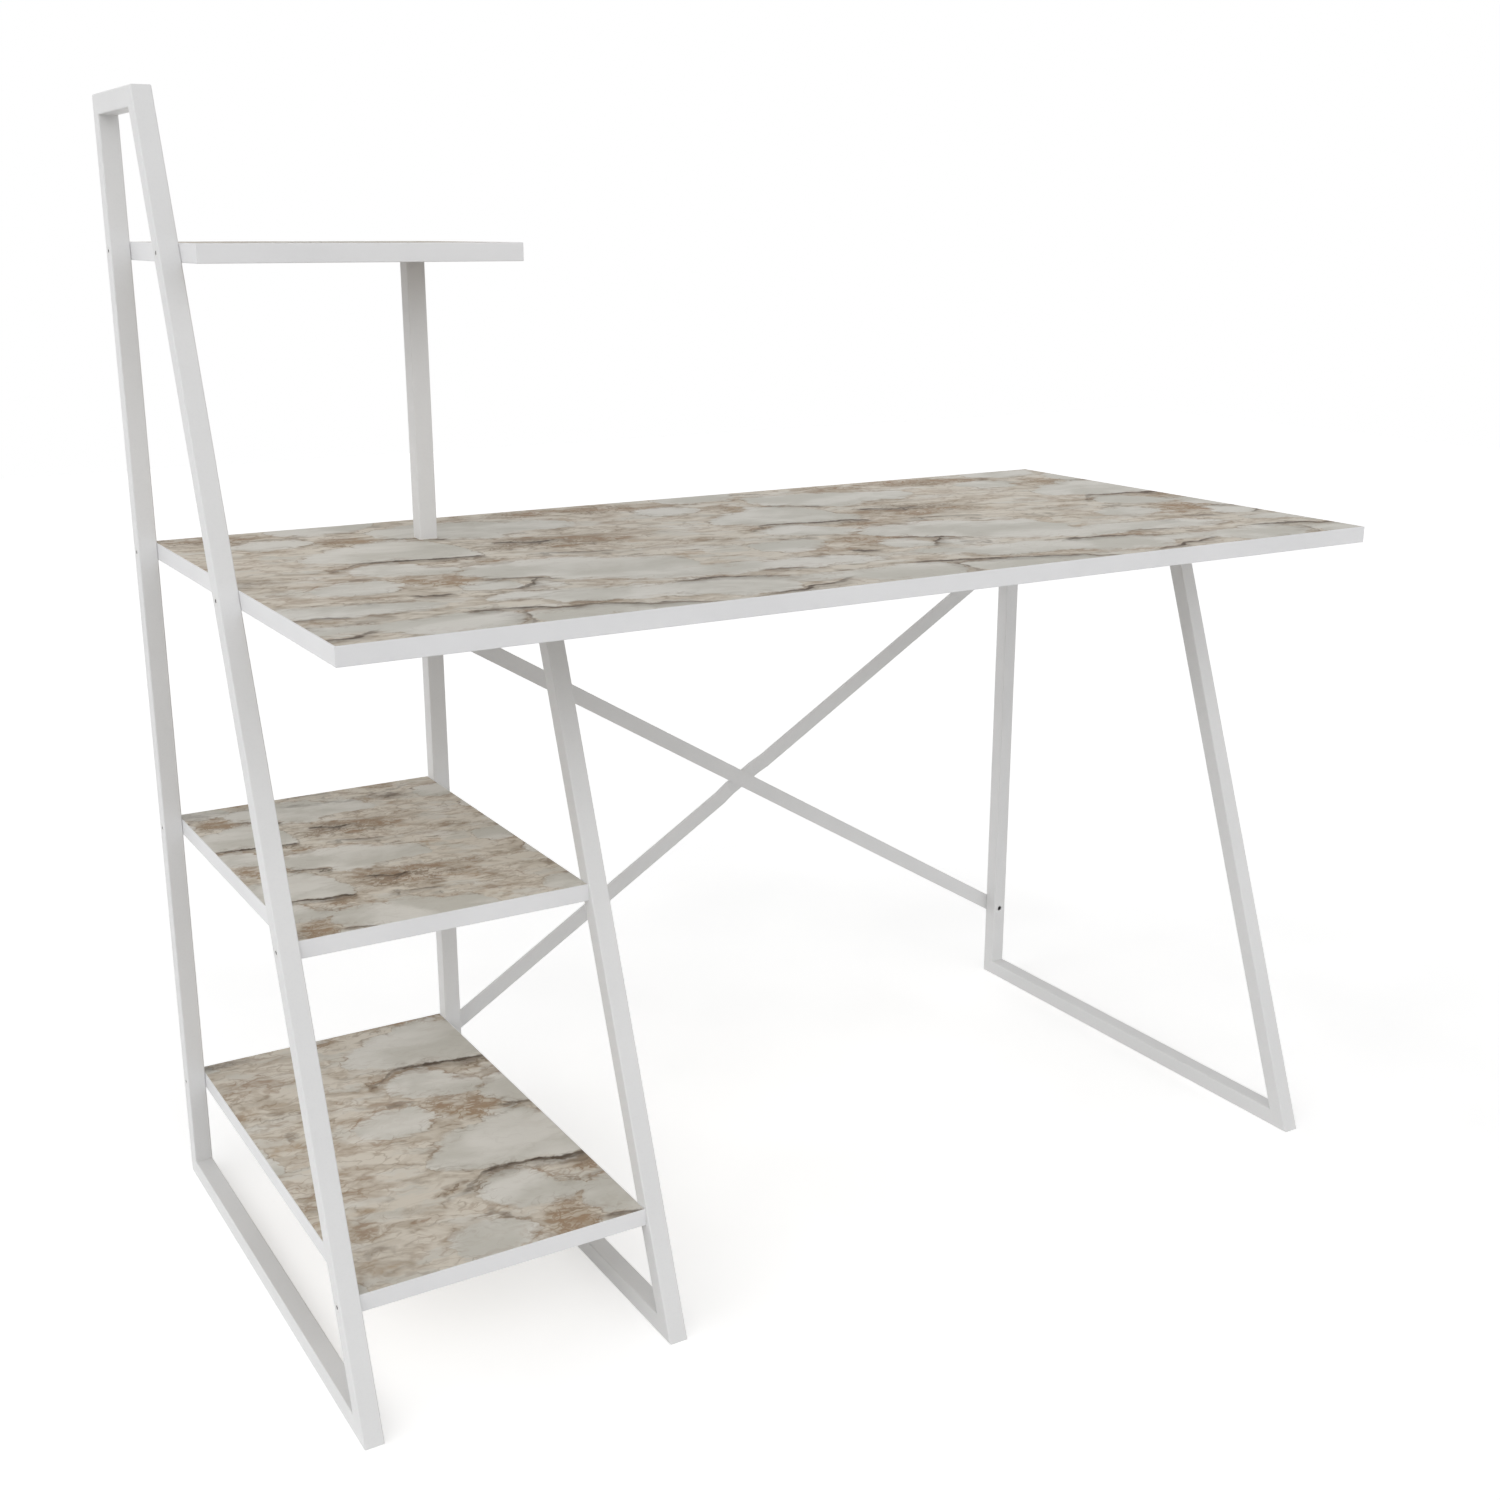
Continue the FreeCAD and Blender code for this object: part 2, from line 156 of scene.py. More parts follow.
class Graph:
    """Adds and joins the nodes of one shader tree."""

    def __init__(self, tree: bpy.types.NodeTree) -> None:
        """Keep the tree that the nodes go into."""
        self.tree = tree

    def node(self, kind: str, **settings: object) -> bpy.types.Node:
        """Add a node and set its properties.

        Args:
            kind: Blender's name for the node type.
            settings: Properties of the node by name.

        Returns:
            The new node.
        """
        node = self.tree.nodes.new(kind)
        for name, value in settings.items():
            setattr(node, name, value)
        return node

    def feed(self, socket: Socket, value: Value) -> None:
        """Link a socket to another, or give it a plain value.

        Args:
            socket: The input to feed.
            value: An output socket, a number or a row of numbers.
        """
        if isinstance(value, bpy.types.NodeSocket):
            self.tree.links.new(value, socket)
        else:
            socket.default_value = value

    def math(self, operation: str, *values: Value, clamp: bool = False) -> Socket:
        """Result of a Math node.

        Args:
            operation: The node's operation.
            values: Its inputs in order.
            clamp: Whether the result is held between 0 and 1.

        Returns:
            The node's output.
        """
        node = self.node("ShaderNodeMath", operation=operation, use_clamp=clamp)
        for socket, value in zip(node.inputs, values):
            self.feed(socket, value)
        return node.outputs[0]

    def vector(self, operation: str, *values: Value) -> Socket:
        """Result of a Vector Math node.

        Args:
            operation: The node's operation.
            values: Its vector inputs in order.

        Returns:
            The vector output, or the number output of LENGTH and DOT_PRODUCT.
        """
        node = self.node("ShaderNodeVectorMath", operation=operation)
        for socket, value in zip(node.inputs, values):
            self.feed(socket, value)
        return node.outputs["Value" if operation in ("LENGTH", "DOT_PRODUCT") else "Vector"]

    def parts(self, vector: Value) -> tuple[Socket, Socket, Socket]:
        """Take a vector apart.

        Args:
            vector: The vector.

        Returns:
            Its X, Y and Z.
        """
        node = self.node("ShaderNodeSeparateXYZ")
        self.feed(node.inputs[0], vector)
        return tuple(node.outputs)

    def joined(self, x: Value, y: Value, z: Value = 0.0) -> Socket:
        """Put a vector together.

        Args:
            x: Its X.
            y: Its Y.
            z: Its Z.

        Returns:
            The vector.
        """
        node = self.node("ShaderNodeCombineXYZ")
        for socket, value in zip(node.inputs, (x, y, z)):
            self.feed(socket, value)
        return node.outputs[0]

    def mapped(self, vector: Value, place: Sequence[float], turn: float, size: Sequence[float]) -> Socket:
        """Vector taken into an area that is moved, turned about Z and scaled.

        Args:
            vector: The vector to map.
            place: Location of the area.
            turn: Its angle about Z in degrees.
            size: Its scale along X, Y and Z.

        Returns:
            The mapped vector.
        """
        node = self.node("ShaderNodeMapping", vector_type="TEXTURE")
        self.feed(node.inputs["Vector"], vector)
        node.inputs["Location"].default_value = place
        node.inputs["Rotation"].default_value = (0.0, 0.0, math.radians(turn))
        node.inputs["Scale"].default_value = size
        return node.outputs[0]

    def noise(self, vector: Value, grain: Grain, tinted: bool = False) -> Socket:
        """Noise from 0 to 1, as a number or a colour.

        Args:
            vector: Where it is read, in metres.
            grain: The noise's settings.
            tinted: Whether the colour output is wanted.

        Returns:
            The noise output.
        """
        if grain.turn:
            vector = self.mapped(vector, (*grain.start, 0.0), grain.turn, (grain.stretch, 1.0, 1.0))
        node = self.node("ShaderNodeTexNoise", noise_dimensions="2D" if grain.flat else "3D")
        self.feed(node.inputs["Vector"], vector)
        node.inputs["Scale"].default_value = grain.scale
        node.inputs["Detail"].default_value = grain.detail
        node.inputs["Roughness"].default_value = grain.roughness
        node.inputs["Distortion"].default_value = grain.distortion
        return node.outputs["Color" if tinted else "Fac"]

    def drift(self, vector: Value, grain: Grain) -> Socket:
        """Shift to all sides of zero, at most a half each way, from a tinted noise."""
        return self.vector("SUBTRACT", self.noise(vector, grain, tinted=True), (0.5, 0.5, 0.5))

    def eased(self, value: Value, low: float, high: float, start: float = 0.0, end: float = 1.0) -> Socket:
        """Smooth step of a value between two limits.

        Args:
            value: The value to map.
            low: Value that gives the start.
            high: Value that gives the end.
            start: Result at low and below.
            end: Result at high and above.

        Returns:
            The eased result.
        """
        node = self.node("ShaderNodeMapRange", interpolation_type="SMOOTHSTEP", clamp=True)
        for socket, number in zip(node.inputs, (value, low, high, start, end)):
            self.feed(socket, number)
        return node.outputs[0]

    def ridge(self, value: Value, width: float) -> Socket:
        """Thin lines where a noise crosses its middle, 1 on the line and 0 a width away."""
        away = self.math("ABSOLUTE", self.math("SUBTRACT", value, 0.5))
        return self.eased(away, 0.0, width, 1.0, 0.0)

    def mix(self, factor: Value, first: Value, second: Value) -> Socket:
        """Colour between two colours.

        Args:
            factor: 0 for the first colour, 1 for the second.
            first: A colour or colour socket.
            second: A colour or colour socket.

        Returns:
            The mixed colour.
        """
        node = self.node("ShaderNodeMix", data_type="RGBA")
        factor_input, first_input, second_input = node.inputs[0], node.inputs[6], node.inputs[7]
        for socket, value in ((factor_input, factor), (first_input, first), (second_input, second)):
            self.feed(socket, value)
        return node.outputs[2]

    def line(self, value: Value, points: Sequence[Point]) -> Socket:
        """Broken line through given points, each from 0 to 1 both ways.

        Args:
            value: Where the line is read.
            points: Corners of the line from left to right.

        Returns:
            The line's height there.
        """
        node = self.node("ShaderNodeFloatCurve")
        self.feed(node.inputs["Value"], value)
        curve = node.mapping.curves[0]
        curve.points[0].location = points[0]
        curve.points[1].location = points[-1]
        for x, y in points[1:-1]:
            curve.points.new(x, y)
        for point in curve.points:
            point.handle_type = "VECTOR"
        node.mapping.update()
        return node.outputs[0]


@dataclass(frozen=True)
class Island:
    """Pale patch of the print: its lower and upper edge at a few places, in millimetres."""

    edges: tuple[tuple[float, float, float], ...]


@dataclass(frozen=True)
class Vein:
    """Dark vein of the print: (x, y, strength) along it, in millimetres and from 0 to 1."""

    course: tuple[tuple[float, float, float], ...]


@dataclass(frozen=True)
class Cloud:
    """Soft elliptical patch of colour in the print, in millimetres and degrees."""

    x: float
    y: float
    half_width: float
    half_depth: float
    turn: float
    strength: float

    def centre(self) -> tuple[float, float, float]:
        """Centre in metres."""
        return (self.x * MM, self.y * MM, 0.0)

    def inside(self, graph: Graph, off: Socket, fade: Step) -> Socket:
        """Strength of the cloud at a place.

        Args:
            graph: The graph to add to.
            off: The place from the cloud's centre, in metres.
            fade: Where it starts and ends to fade, 1 at its outline.

        Returns:
            The strength, 0 outside the cloud.
        """
        size = (self.half_width * MM, self.half_depth * MM, 1.0)
        away = graph.vector("LENGTH", graph.mapped(off, (0, 0, 0), self.turn, size))
        return graph.eased(away, fade.low, fade.high, self.strength, 0.0)


@dataclass(frozen=True)
class Strands:
    """Noises that several layers of the print share, and the coordinates that they read."""

    free: Socket
    curled: Socket
    wisps: Socket
    patches: Socket
    long_lines: Socket
    cross_lines: Socket
    cracks: Socket
    shown: Socket
    shown_cross: Socket


@dataclass(frozen=True)
class Layers:
    """Depth inside the islands, density of the brown ground, and halo of the threads."""

    edge: Socket
    dense: Socket
    halo: Socket


@dataclass(frozen=True)
class MarblePrint:
    """The marble pattern printed on the laminate, which repeats to the right."""

    repeat: float = 0.478
    lowest: float = -0.02
    reach: float = 0.64
    wander: tuple[float, float, float] = (0.024, 0.0168, 0.0)
    fine_wander: tuple[float, float, float] = (0.0096, 0.00512, 0.0)
    cloud_wander: tuple[float, float, float] = (0.075, 0.045, 0.0)
    curl_reach: tuple[float, float, float] = (0.027, 0.016, 0.0)
    crinkle_reach: tuple[float, float, float] = (0.006, 0.0035, 0.0)
    rim_reach: float = 0.036
    spread: float = 0.005
    rim_set_back: float = 0.003
    crossing_gap: float = 0.03
    crossing_step: float = 0.008
    crisp_side: float = 0.0048
    soft_side: float = 0.0095
    smear_side: float = 0.026

    pale: Colour = shade(221, 218, 211)
    pale_shadow: Colour = shade(201, 198, 189)
    ground: Colour = shade(216, 208, 195)
    ground_shadow: Colour = shade(168, 152, 132)
    filament: Colour = shade(126, 106, 87)
    brown_filament: Colour = shade(150, 122, 97)
    ochre: Colour = shade(172, 144, 111)
    smudge: Colour = shade(114, 98, 83)
    vein: Colour = shade(86, 72, 60)
    dull: Colour = shade(186, 184, 172)

    wide: Grain = PrintGrain(26, 2, 0.55)
    fine: Grain = PrintGrain(110, 2, 0.6)
    curl: Grain = PrintGrain(48)
    crinkle: Grain = PrintGrain(170)
    wisp: Grain = PrintGrain(60, 4, 0.6, 1.0, turn=-12, stretch=2.8)
    patch: Grain = PrintGrain(22, 3, 0.55, 0.6, turn=-12, stretch=2.8)
    long_line: Grain = PrintGrain(36, 1, turn=-12, stretch=2.7)
    cross_line: Grain = PrintGrain(52, 1, turn=28, stretch=1.7, start=(0.3, 0.2))
    crackle: Grain = PrintGrain(78, 1)
    hair: Grain = PrintGrain(74, 1, turn=-9, stretch=3.0, start=(0.7, 0.6))
    long_gap: Grain = PrintGrain(31)
    cross_gap: Grain = PrintGrain(41, turn=-12, stretch=2.8)
    blotch: Grain = PrintGrain(30, 5, 0.6, 0.6, turn=-16, stretch=2.2, start=(0.2, 0.3))
    veil: Grain = PrintGrain(13, 3, 0.5, 0.3, turn=12, stretch=1.5, start=(0.1, 0.4))
    light_streak: Grain = PrintGrain(34, 3, 0.6, turn=-14, stretch=3.4, start=(0.5, 0.1))
    vein_break: Grain = PrintGrain(90, 3, 0.6, 0.6, turn=-12, stretch=2.8)
    tone: Grain = PrintGrain(9)

    long_shown: Step = Step(0.38, 0.6, 0.15, 1.0)
    cross_shown: Step = Step(0.42, 0.62)
    pale_at_edge: Step = Step(-0.006, 0.006)
    dense_beside_edge: Step = Step(-0.02, -0.002, 0.0, 0.36)
    dark_on_rim: Step = Step(0.0004, 0.0042, 0.75, 0.0)
    calm_inside: Step = Step(-0.004, 0.022, 1.0, 0.18)
    cloud_fade: Step = Step(0.25, 1.25)
    blotch_shadow: Step = Step(0.36, 0.66, -0.32, 0.34)
    veil_shadow: Step = Step(0.36, 0.64)
    streak_light: Step = Step(0.48, 0.66, 0.0, 0.72)
    hair_bundles: Step = Step(0.42, 0.58)
    brown_threads: Step = Step(0.42, 0.6)
    smudge_wear: Step = Step(0.25, 0.7, 1.0, 0.4)
    vein_line: Step = Step(0.15, 1.0, 1.0, 0.0)
    vein_smear: Step = Step(0.0, 1.0, 0.52, 0.0)
    vein_wear: Step = Step(0.3, 0.65, 1.35, 0.85)
    tone_dulling: Step = Step(0.3, 0.7, 0.0, 0.1)

    patch_gain: float = 1.1
    patch_offset: float = -0.5
    long_halo: float = 0.13
    cross_halo: float = 0.11
    long_thread: float = 0.042
    cross_thread: float = 0.045
    hair_width: float = 0.06
    cell_width: float = 0.1
    lattice_width: float = 0.16
    halo_shadow: float = 0.34
    dense_shadow: float = 0.66
    cross_share: float = 0.8
    dense_threads: float = 0.62
    open_threads: float = 0.36
    thread_cover: float = 0.86
    lattice_rust: float = 0.6
    plain_rust: float = 0.4
    rust_cover: float = 0.45
    smudge_cover: float = 0.8

    island_rows: tuple[tuple[Island, ...], ...] = (
        (
            Island(((118, 580, 585), (130, 560, 603), (150, 549, 605), (205, 549, 605),
                    (228, 570, 605), (240, 590, 600))),
        ),
        (
            Island(((57, 505, 510), (75, 481, 525), (100, 478, 533), (125, 481, 526), (140, 498, 510))),
            Island(((217, 500, 520), (228, 482, 545), (250, 478, 551), (275, 458, 553), (300, 441, 553),
                    (325, 438, 551), (350, 454, 541), (375, 459, 527), (405, 458, 520), (430, 470, 515),
                    (443, 490, 500))),
        ),
        (
            Island(((98, 385, 395), (110, 376, 412), (128, 368, 431), (150, 361, 447), (175, 356, 452),
                    (200, 352, 476), (225, 347, 470), (250, 343, 442), (266, 336, 400), (275, 355, 365))),
        ),
        (
            Island(((115, 297, 300), (128, 288, 320), (150, 268, 341), (172, 263, 338), (200, 261, 300),
                    (218, 270, 280))),
        ),
        (
            Island(((50, 222, 228), (62, 205, 245), (80, 191, 256), (105, 194, 255), (128, 206, 250),
                    (143, 224, 232))),
            Island(((205, 235, 250), (225, 215, 275), (250, 204, 281), (275, 194, 282), (300, 166, 281),
                    (325, 154, 281), (350, 140, 272), (375, 130, 251), (400, 118, 246), (425, 113, 243),
                    (433, 150, 225), (440, 185, 200))),
        ),
        (
            Island(((0, 118, 160), (25, 115, 158), (50, 108, 155), (75, 107, 150), (100, 107, 145),
                    (125, 109, 135), (143, 115, 122))),
            Island(((183, 170, 180), (200, 155, 200), (225, 152, 196), (240, 168, 180))),
            Island(((246, 155, 160), (258, 140, 172), (272, 145, 165), (280, 152, 156))),
            Island(((425, 118, 150), (436, 112, 165), (455, 112, 163), (478, 118, 160))),
        ),
        (
            Island(((180, 117, 119), (200, 108, 126), (225, 100, 127), (240, 75, 120), (255, 64, 119),
                    (300, 56, 113), (330, 57, 108), (350, 48, 103), (375, 34, 99), (400, 17, 97),
                    (425, 16, 92), (450, 23, 85), (468, 36, 74), (476, 50, 60))),
        ),
        (
            Island(((0, 44, 68), (25, 44, 68), (50, 36, 66), (75, 12, 63), (100, 3, 63), (125, -2, 68),
                    (150, -2, 68), (170, 20, 62), (181, 38, 42))),
            Island(((188, 2, 40), (200, -3, 46), (225, -4, 43), (265, -4, 38), (300, -4, 24),
                    (325, -4, 14), (340, -4, 0))),
            Island(((462, 56, 60), (478, 44, 68))),
        ),
    )
    vein_rows: tuple[tuple[Vein, ...], ...] = (
        (
            Vein(((213, 483, 0), (222, 480, 0.5), (235, 475, 0.6), (248, 468, 0.9), (262, 457, 0.7),
                  (272, 453, 0.9), (282, 451, 0))),
            Vein(((303, 402, 0), (314, 399, 0.8), (326, 395, 1), (338, 389, 0.8), (352, 383, 0.9),
                  (366, 386, 1), (378, 388, 0.5), (392, 376, 0))),
        ),
        (
            Vein(((102, 317, 0), (112, 322, 0.5), (125, 334, 0.4), (138, 350, 0.5), (150, 355, 0.8),
                  (175, 350, 0.8), (200, 345, 0.9), (225, 340, 1), (250, 337, 0.9), (266, 332, 1),
                  (274, 329, 0))),
            Vein(((325, 312, 0), (335, 315, 0.4), (350, 308, 0.5), (380, 302, 0.5), (397, 297, 0.4),
                  (405, 294, 0))),
        ),
        (
            Vein(((0, 114, 0.5), (25, 112, 0.6), (43, 103, 0.5), (52, 98, 0))),
            Vein(((70, 150, 0), (85, 151, 0.4), (97, 151, 0))),
            Vein(((126, 170, 0), (133, 166, 0.7), (146, 159, 1), (160, 156, 0.8), (167, 154, 0))),
            Vein(((210, 212, 0), (220, 209, 0.5), (240, 201, 0.6), (255, 193, 0.7), (266, 189, 1),
                  (280, 181, 0.5), (294, 170, 0))),
            Vein(((462, 113, 0), (478, 114, 0.5))),
        ),
        (
            Vein(((0, 78, 0.3), (15, 72, 0))),
            Vein(((218, 147, 0), (227, 151, 0.6), (240, 160, 0.7), (252, 170, 0.8), (262, 184, 0.9),
                  (267, 190, 0))),
            Vein(((368, 102, 0), (380, 105, 0.6), (400, 107, 0.9), (425, 102, 0.8), (445, 95, 0.6),
                  (460, 86, 0.5), (478, 78, 0.3))),
        ),
        (
            Vein(((0, 24, 0.8), (12, 22, 0.9), (25, 26, 0.8), (43, 35, 0.6), (52, 40, 0))),
            Vein(((145, 76, 0), (155, 74, 0.6), (170, 71, 0.7), (185, 65, 0.9), (200, 65, 1),
                  (213, 60, 0.9), (235, 51, 0.8), (250, 49, 0.7), (270, 45, 0.7), (285, 36, 0.7),
                  (300, 28, 0.7), (320, 22, 0.6), (340, 12, 0.6), (357, 5, 0.5), (368, 2, 0))),
            Vein(((395, 3, 0), (417, 5, 0.5), (440, 12, 0.8), (455, 13, 1), (470, 22, 0.8), (478, 24, 0.8))),
        ),
    )
    upright_veins: tuple[Vein, ...] = (
        Vein(((0, 175, 0.4), (10, 180, 0.5), (30, 185, 0.6), (48, 187, 0.5), (56, 188, 0))),
        Vein(((268, 383, 0), (276, 384, 0.5), (286, 385, 0.3), (290, 385, 0))),
        Vein(((292, 326, 0), (300, 327, 0.5), (315, 329, 0.5), (322, 330, 0))),
        Vein(((335, 398, 0), (345, 402, 0.4), (357, 405, 0))),
        Vein(((362, 344, 0), (368, 347, 0.7), (380, 354, 0.8), (388, 358, 0))),
        Vein(((422, 321, 0), (428, 322, 0.4), (436, 323, 0))),
        Vein(((441, 366, 0), (447, 367, 0.4), (455, 368, 0))),
    )
    rust: tuple[Cloud, ...] = (
        Cloud(200, 494, 22, 17, 20, 0.9),
        Cloud(172, 476, 30, 20, 30, 0.5),
        Cloud(454, 507, 12, 20, -20, 0.9),
        Cloud(454, 229, 12, 19, -20, 1.1),
        Cloud(458, 175, 30, 13, 15, 0.6),
        Cloud(450, 334, 32, 11, 5, 0.9),
        Cloud(192, 212, 20, 20, 0, 0.7),
        Cloud(176, 225, 38, 32, 0, 0.45),
    )
    smudges: tuple[Cloud, ...] = (
        Cloud(250, 575, 17, 14, 0, 0.8),
        Cloud(120, 541, 17, 10, -10, 0.8),
        Cloud(118, 263, 17, 10, -15, 0.9),
        Cloud(470, 254, 18, 7, -10, 0.7),
        Cloud(65, 85, 17, 12, 0, 0.7),
        Cloud(245, 289, 36, 10, -5, 0.5),
        Cloud(284, 146, 9, 13, 0, 0.8),
        Cloud(234, 333, 20, 8, -5, 0.7),
        Cloud(345, 398, 34, 24, -15, 0.4),
        Cloud(110, 322, 14, 9, 30, 0.6),
    )
    dense: tuple[Cloud, ...] = (
        Cloud(365, 372, 122, 60, -8, 0.9),
        Cloud(322, 382, 40, 34, -20, 0.45),
        Cloud(182, 216, 46, 44, 0, 0.9),
        Cloud(243, 316, 40, 20, -8, 0.95),
        Cloud(116, 330, 30, 18, 35, 0.95),
        Cloud(30, 562, 100, 38, -8, 0.95),
        Cloud(395, 572, 95, 26, 0, 0.85),
        Cloud(175, 486, 46, 38, 0, 0.95),
        Cloud(452, 400, 60, 40, -10, 0.45),
        Cloud(20, 300, 66, 22, -10, 0.5),
        Cloud(250, 55, 90, 12, -17, 0.55),
        Cloud(120, 166, 66, 16, -10, 0.45),
        Cloud(452, 92, 60, 10, -12, 0.55),
    )

    def height(self, millimetres: float) -> float:
        """Place of a print height on the 0 to 1 scale of the given lines."""
        return min(max((millimetres * MM - self.lowest) / self.reach, 0.0), 1.0)

    def along(self, millimetres: float) -> float:
        """Place across the print on the 0 to 1 scale of the given lines."""
        return min(millimetres * MM / self.repeat, 1.0)

    @staticmethod
    def to_both_sides(line: list[Point]) -> None:
        """Carry a line on level to both sides of the print.

        Args:
            line: The line's points from left to right, added to in place.
        """
        if line[0][0] > 0.0:
            line.insert(0, (0.0, line[0][1]))
        if line[-1][0] < 1.0:
            line.append((1.0, line[-1][1]))

    def island_lines(self, row: Sequence[Island]) -> tuple[list[Point], list[Point]]:
        """Lower and upper edge lines through a row of islands, crossed over between them.

        Args:
            row: Islands from left to right.

        Returns:
            The lower and the upper line.
        """
        lower: list[Point] = []
        upper: list[Point] = []
        for island in row:
            for x, low, high in island.edges:
                lower.append((self.along(x), self.height(low)))
                upper.append((self.along(x), self.height(high)))
            ends = ((island.edges[0], -self.crossing_step), (island.edges[-1], self.crossing_step))
            for (edge, low, high), away in ends:
                x = self.along(edge) + away
                middle = self.height((low + high) / 2)
                if 0.0 < x < 1.0:
                    lower.append((x, middle + self.crossing_gap))
                    upper.append((x, middle - self.crossing_gap))
        for line in (lower, upper):
            line.sort()
            self.to_both_sides(line)
        return lower, upper

    def vein_lines(self, row: Sequence[Vein], across: Scale, up: Scale) -> tuple[list[Point], list[Point]]:
        """Course and strength lines through a row of veins.

        Args:
            row: Veins in order.
            across: Scales the first number of a point.
            up: Scales the second.

        Returns:
            The course line and the strength line.
        """
        points = [(across(first), up(second), weight)
                  for vein in row for first, second, weight in vein.course]
        course = [(first, second) for first, second, _ in points]
        strength = [(first, weight) for first, _, weight in points]
        for line in (course, strength):
            self.to_both_sides(line)
        return course, strength

    def vein_mark(self, graph: Graph, places: tuple[Socket, Socket], lines: tuple[list[Point], list[Point]],
                  sides: tuple[float, float], reach: float) -> Socket:
        """Darkness of a row of veins.

        Args:
            graph: The graph to add to.
            places: Places along and across the row, each from 0 to 1 over the print.
            lines: The row's course and strength.
            sides: Widths of the crisp and the soft side.
            reach: Metres from 0 to 1 across the row.

        Returns:
            Darkness from 0 to 1.
        """
        along, away = places
        course, strength = lines
        crisp, soft = sides
        off = graph.math("SUBTRACT", away, graph.line(along, course))
        above = graph.math("MULTIPLY", off, reach / crisp)
        below = graph.math("MULTIPLY", off, -reach / soft)
        smeared = graph.math("MULTIPLY", off, -reach / self.smear_side)
        line = graph.eased(graph.math("MAXIMUM", above, below), *self.vein_line)
        smear = graph.eased(graph.math("MAXIMUM", above, smeared), *self.vein_smear)
        return graph.math("MULTIPLY", graph.math("MAXIMUM", line, smear), graph.line(along, strength))

    def clouds(self, graph: Graph, place: Socket, clouds: Sequence[Cloud]) -> Socket:
        """Strongest of several clouds at a place.

        Args:
            graph: The graph to add to.
            place: Print coordinates in metres.
            clouds: The clouds.

        Returns:
            Strength, 0 outside them.
        """
        strongest: Value = 0.0
        half = self.repeat / 2
        for cloud in clouds:
            off = graph.vector("SUBTRACT", place, cloud.centre())
            off = graph.vector("WRAP", off, (half, 1.0, 1.0), (-half, -1.0, -1.0))
            inside = cloud.inside(graph, off, self.cloud_fade)
            strongest = graph.math("MAXIMUM", strongest, inside)
        return strongest

    def island_depth(self, graph: Graph, across: Socket, up: Socket) -> Socket:
        """Depth inside the nearest island in metres, negative outside.

        Args:
            graph: The graph to add to.
            across: Place across the print, 0 to 1.
            up: Place up the print, 0 to 1.

        Returns:
            The depth.
        """
        inside: Value = -1.0
        for row in self.island_rows:
            lower, upper = self.island_lines(row)
            under = graph.math("SUBTRACT", graph.line(across, upper), up)
            over = graph.math("SUBTRACT", up, graph.line(across, lower))
            inside = graph.math("MAXIMUM", inside, graph.math("MINIMUM", under, over))
        return graph.math("MULTIPLY", inside, self.reach)

    def strands(self, graph: Graph, free: Socket) -> Strands:
        """Add the noises that several layers of the print share.

        Args:
            graph: The graph to add to.
            free: Print coordinates that don't repeat.

        Returns:
            The noises.
        """
        curled = graph.vector("MULTIPLY_ADD", graph.drift(free, self.curl), self.curl_reach, free)
        curled = graph.vector("MULTIPLY_ADD", graph.drift(free, self.crinkle), self.crinkle_reach, curled)
        return Strands(
            free=free,
            curled=curled,
            wisps=graph.noise(free, self.wisp),
            patches=graph.noise(free, self.patch),
            long_lines=graph.noise(curled, self.long_line),
            cross_lines=graph.noise(curled, self.cross_line),
            cracks=graph.noise(curled, self.crackle),
            shown=graph.eased(graph.noise(free, self.long_gap), *self.long_shown),
            shown_cross=graph.eased(graph.noise(free, self.cross_gap), *self.cross_shown),
        )

    def halo(self, graph: Graph, strands: Strands) -> Socket:
        """Soft band round the long and the crossing threads.

        Args:
            graph: The graph to add to.
            strands: The shared noises.

        Returns:
            Darkness from 0 to 1.
        """
        along = graph.ridge(strands.long_lines, self.long_halo)
        across = graph.ridge(strands.cross_lines, self.cross_halo)
        return graph.math("MAXIMUM", graph.math("MULTIPLY", along, strands.shown),
                          graph.math("MULTIPLY", across, strands.shown_cross))

    def stone(self, graph: Graph, strands: Strands, layers: Layers) -> Socket:
        """Colour of the pale islands and the cloudy ground, before any line is drawn.

        Args:
            graph: The graph to add to.
            strands: The shared noises.
            layers: Edge, density and halo at this place.

        Returns:
            The colour.
        """
        shadow = graph.math("MULTIPLY_ADD", layers.halo, self.halo_shadow,
                            graph.math("MULTIPLY", layers.dense, self.dense_shadow))
        blotches = graph.eased(graph.noise(strands.free, self.blotch), *self.blotch_shadow)
        shadow = graph.math("ADD", shadow, blotches, clamp=True)
        veils = graph.eased(graph.noise(strands.free, self.veil), *self.veil_shadow)
        clean = graph.mix(veils, self.pale, self.pale_shadow)
        cloudy = graph.mix(shadow, self.ground, self.ground_shadow)
        streaks = graph.eased(graph.noise(strands.curled, self.light_streak), *self.streak_light)
        streaks = graph.math("MULTIPLY", streaks, graph.math("SUBTRACT", 1.0, layers.dense))
        pale = graph.eased(layers.edge, *self.pale_at_edge)
        return graph.mix(graph.math("MAXIMUM", pale, streaks), cloudy, clean)

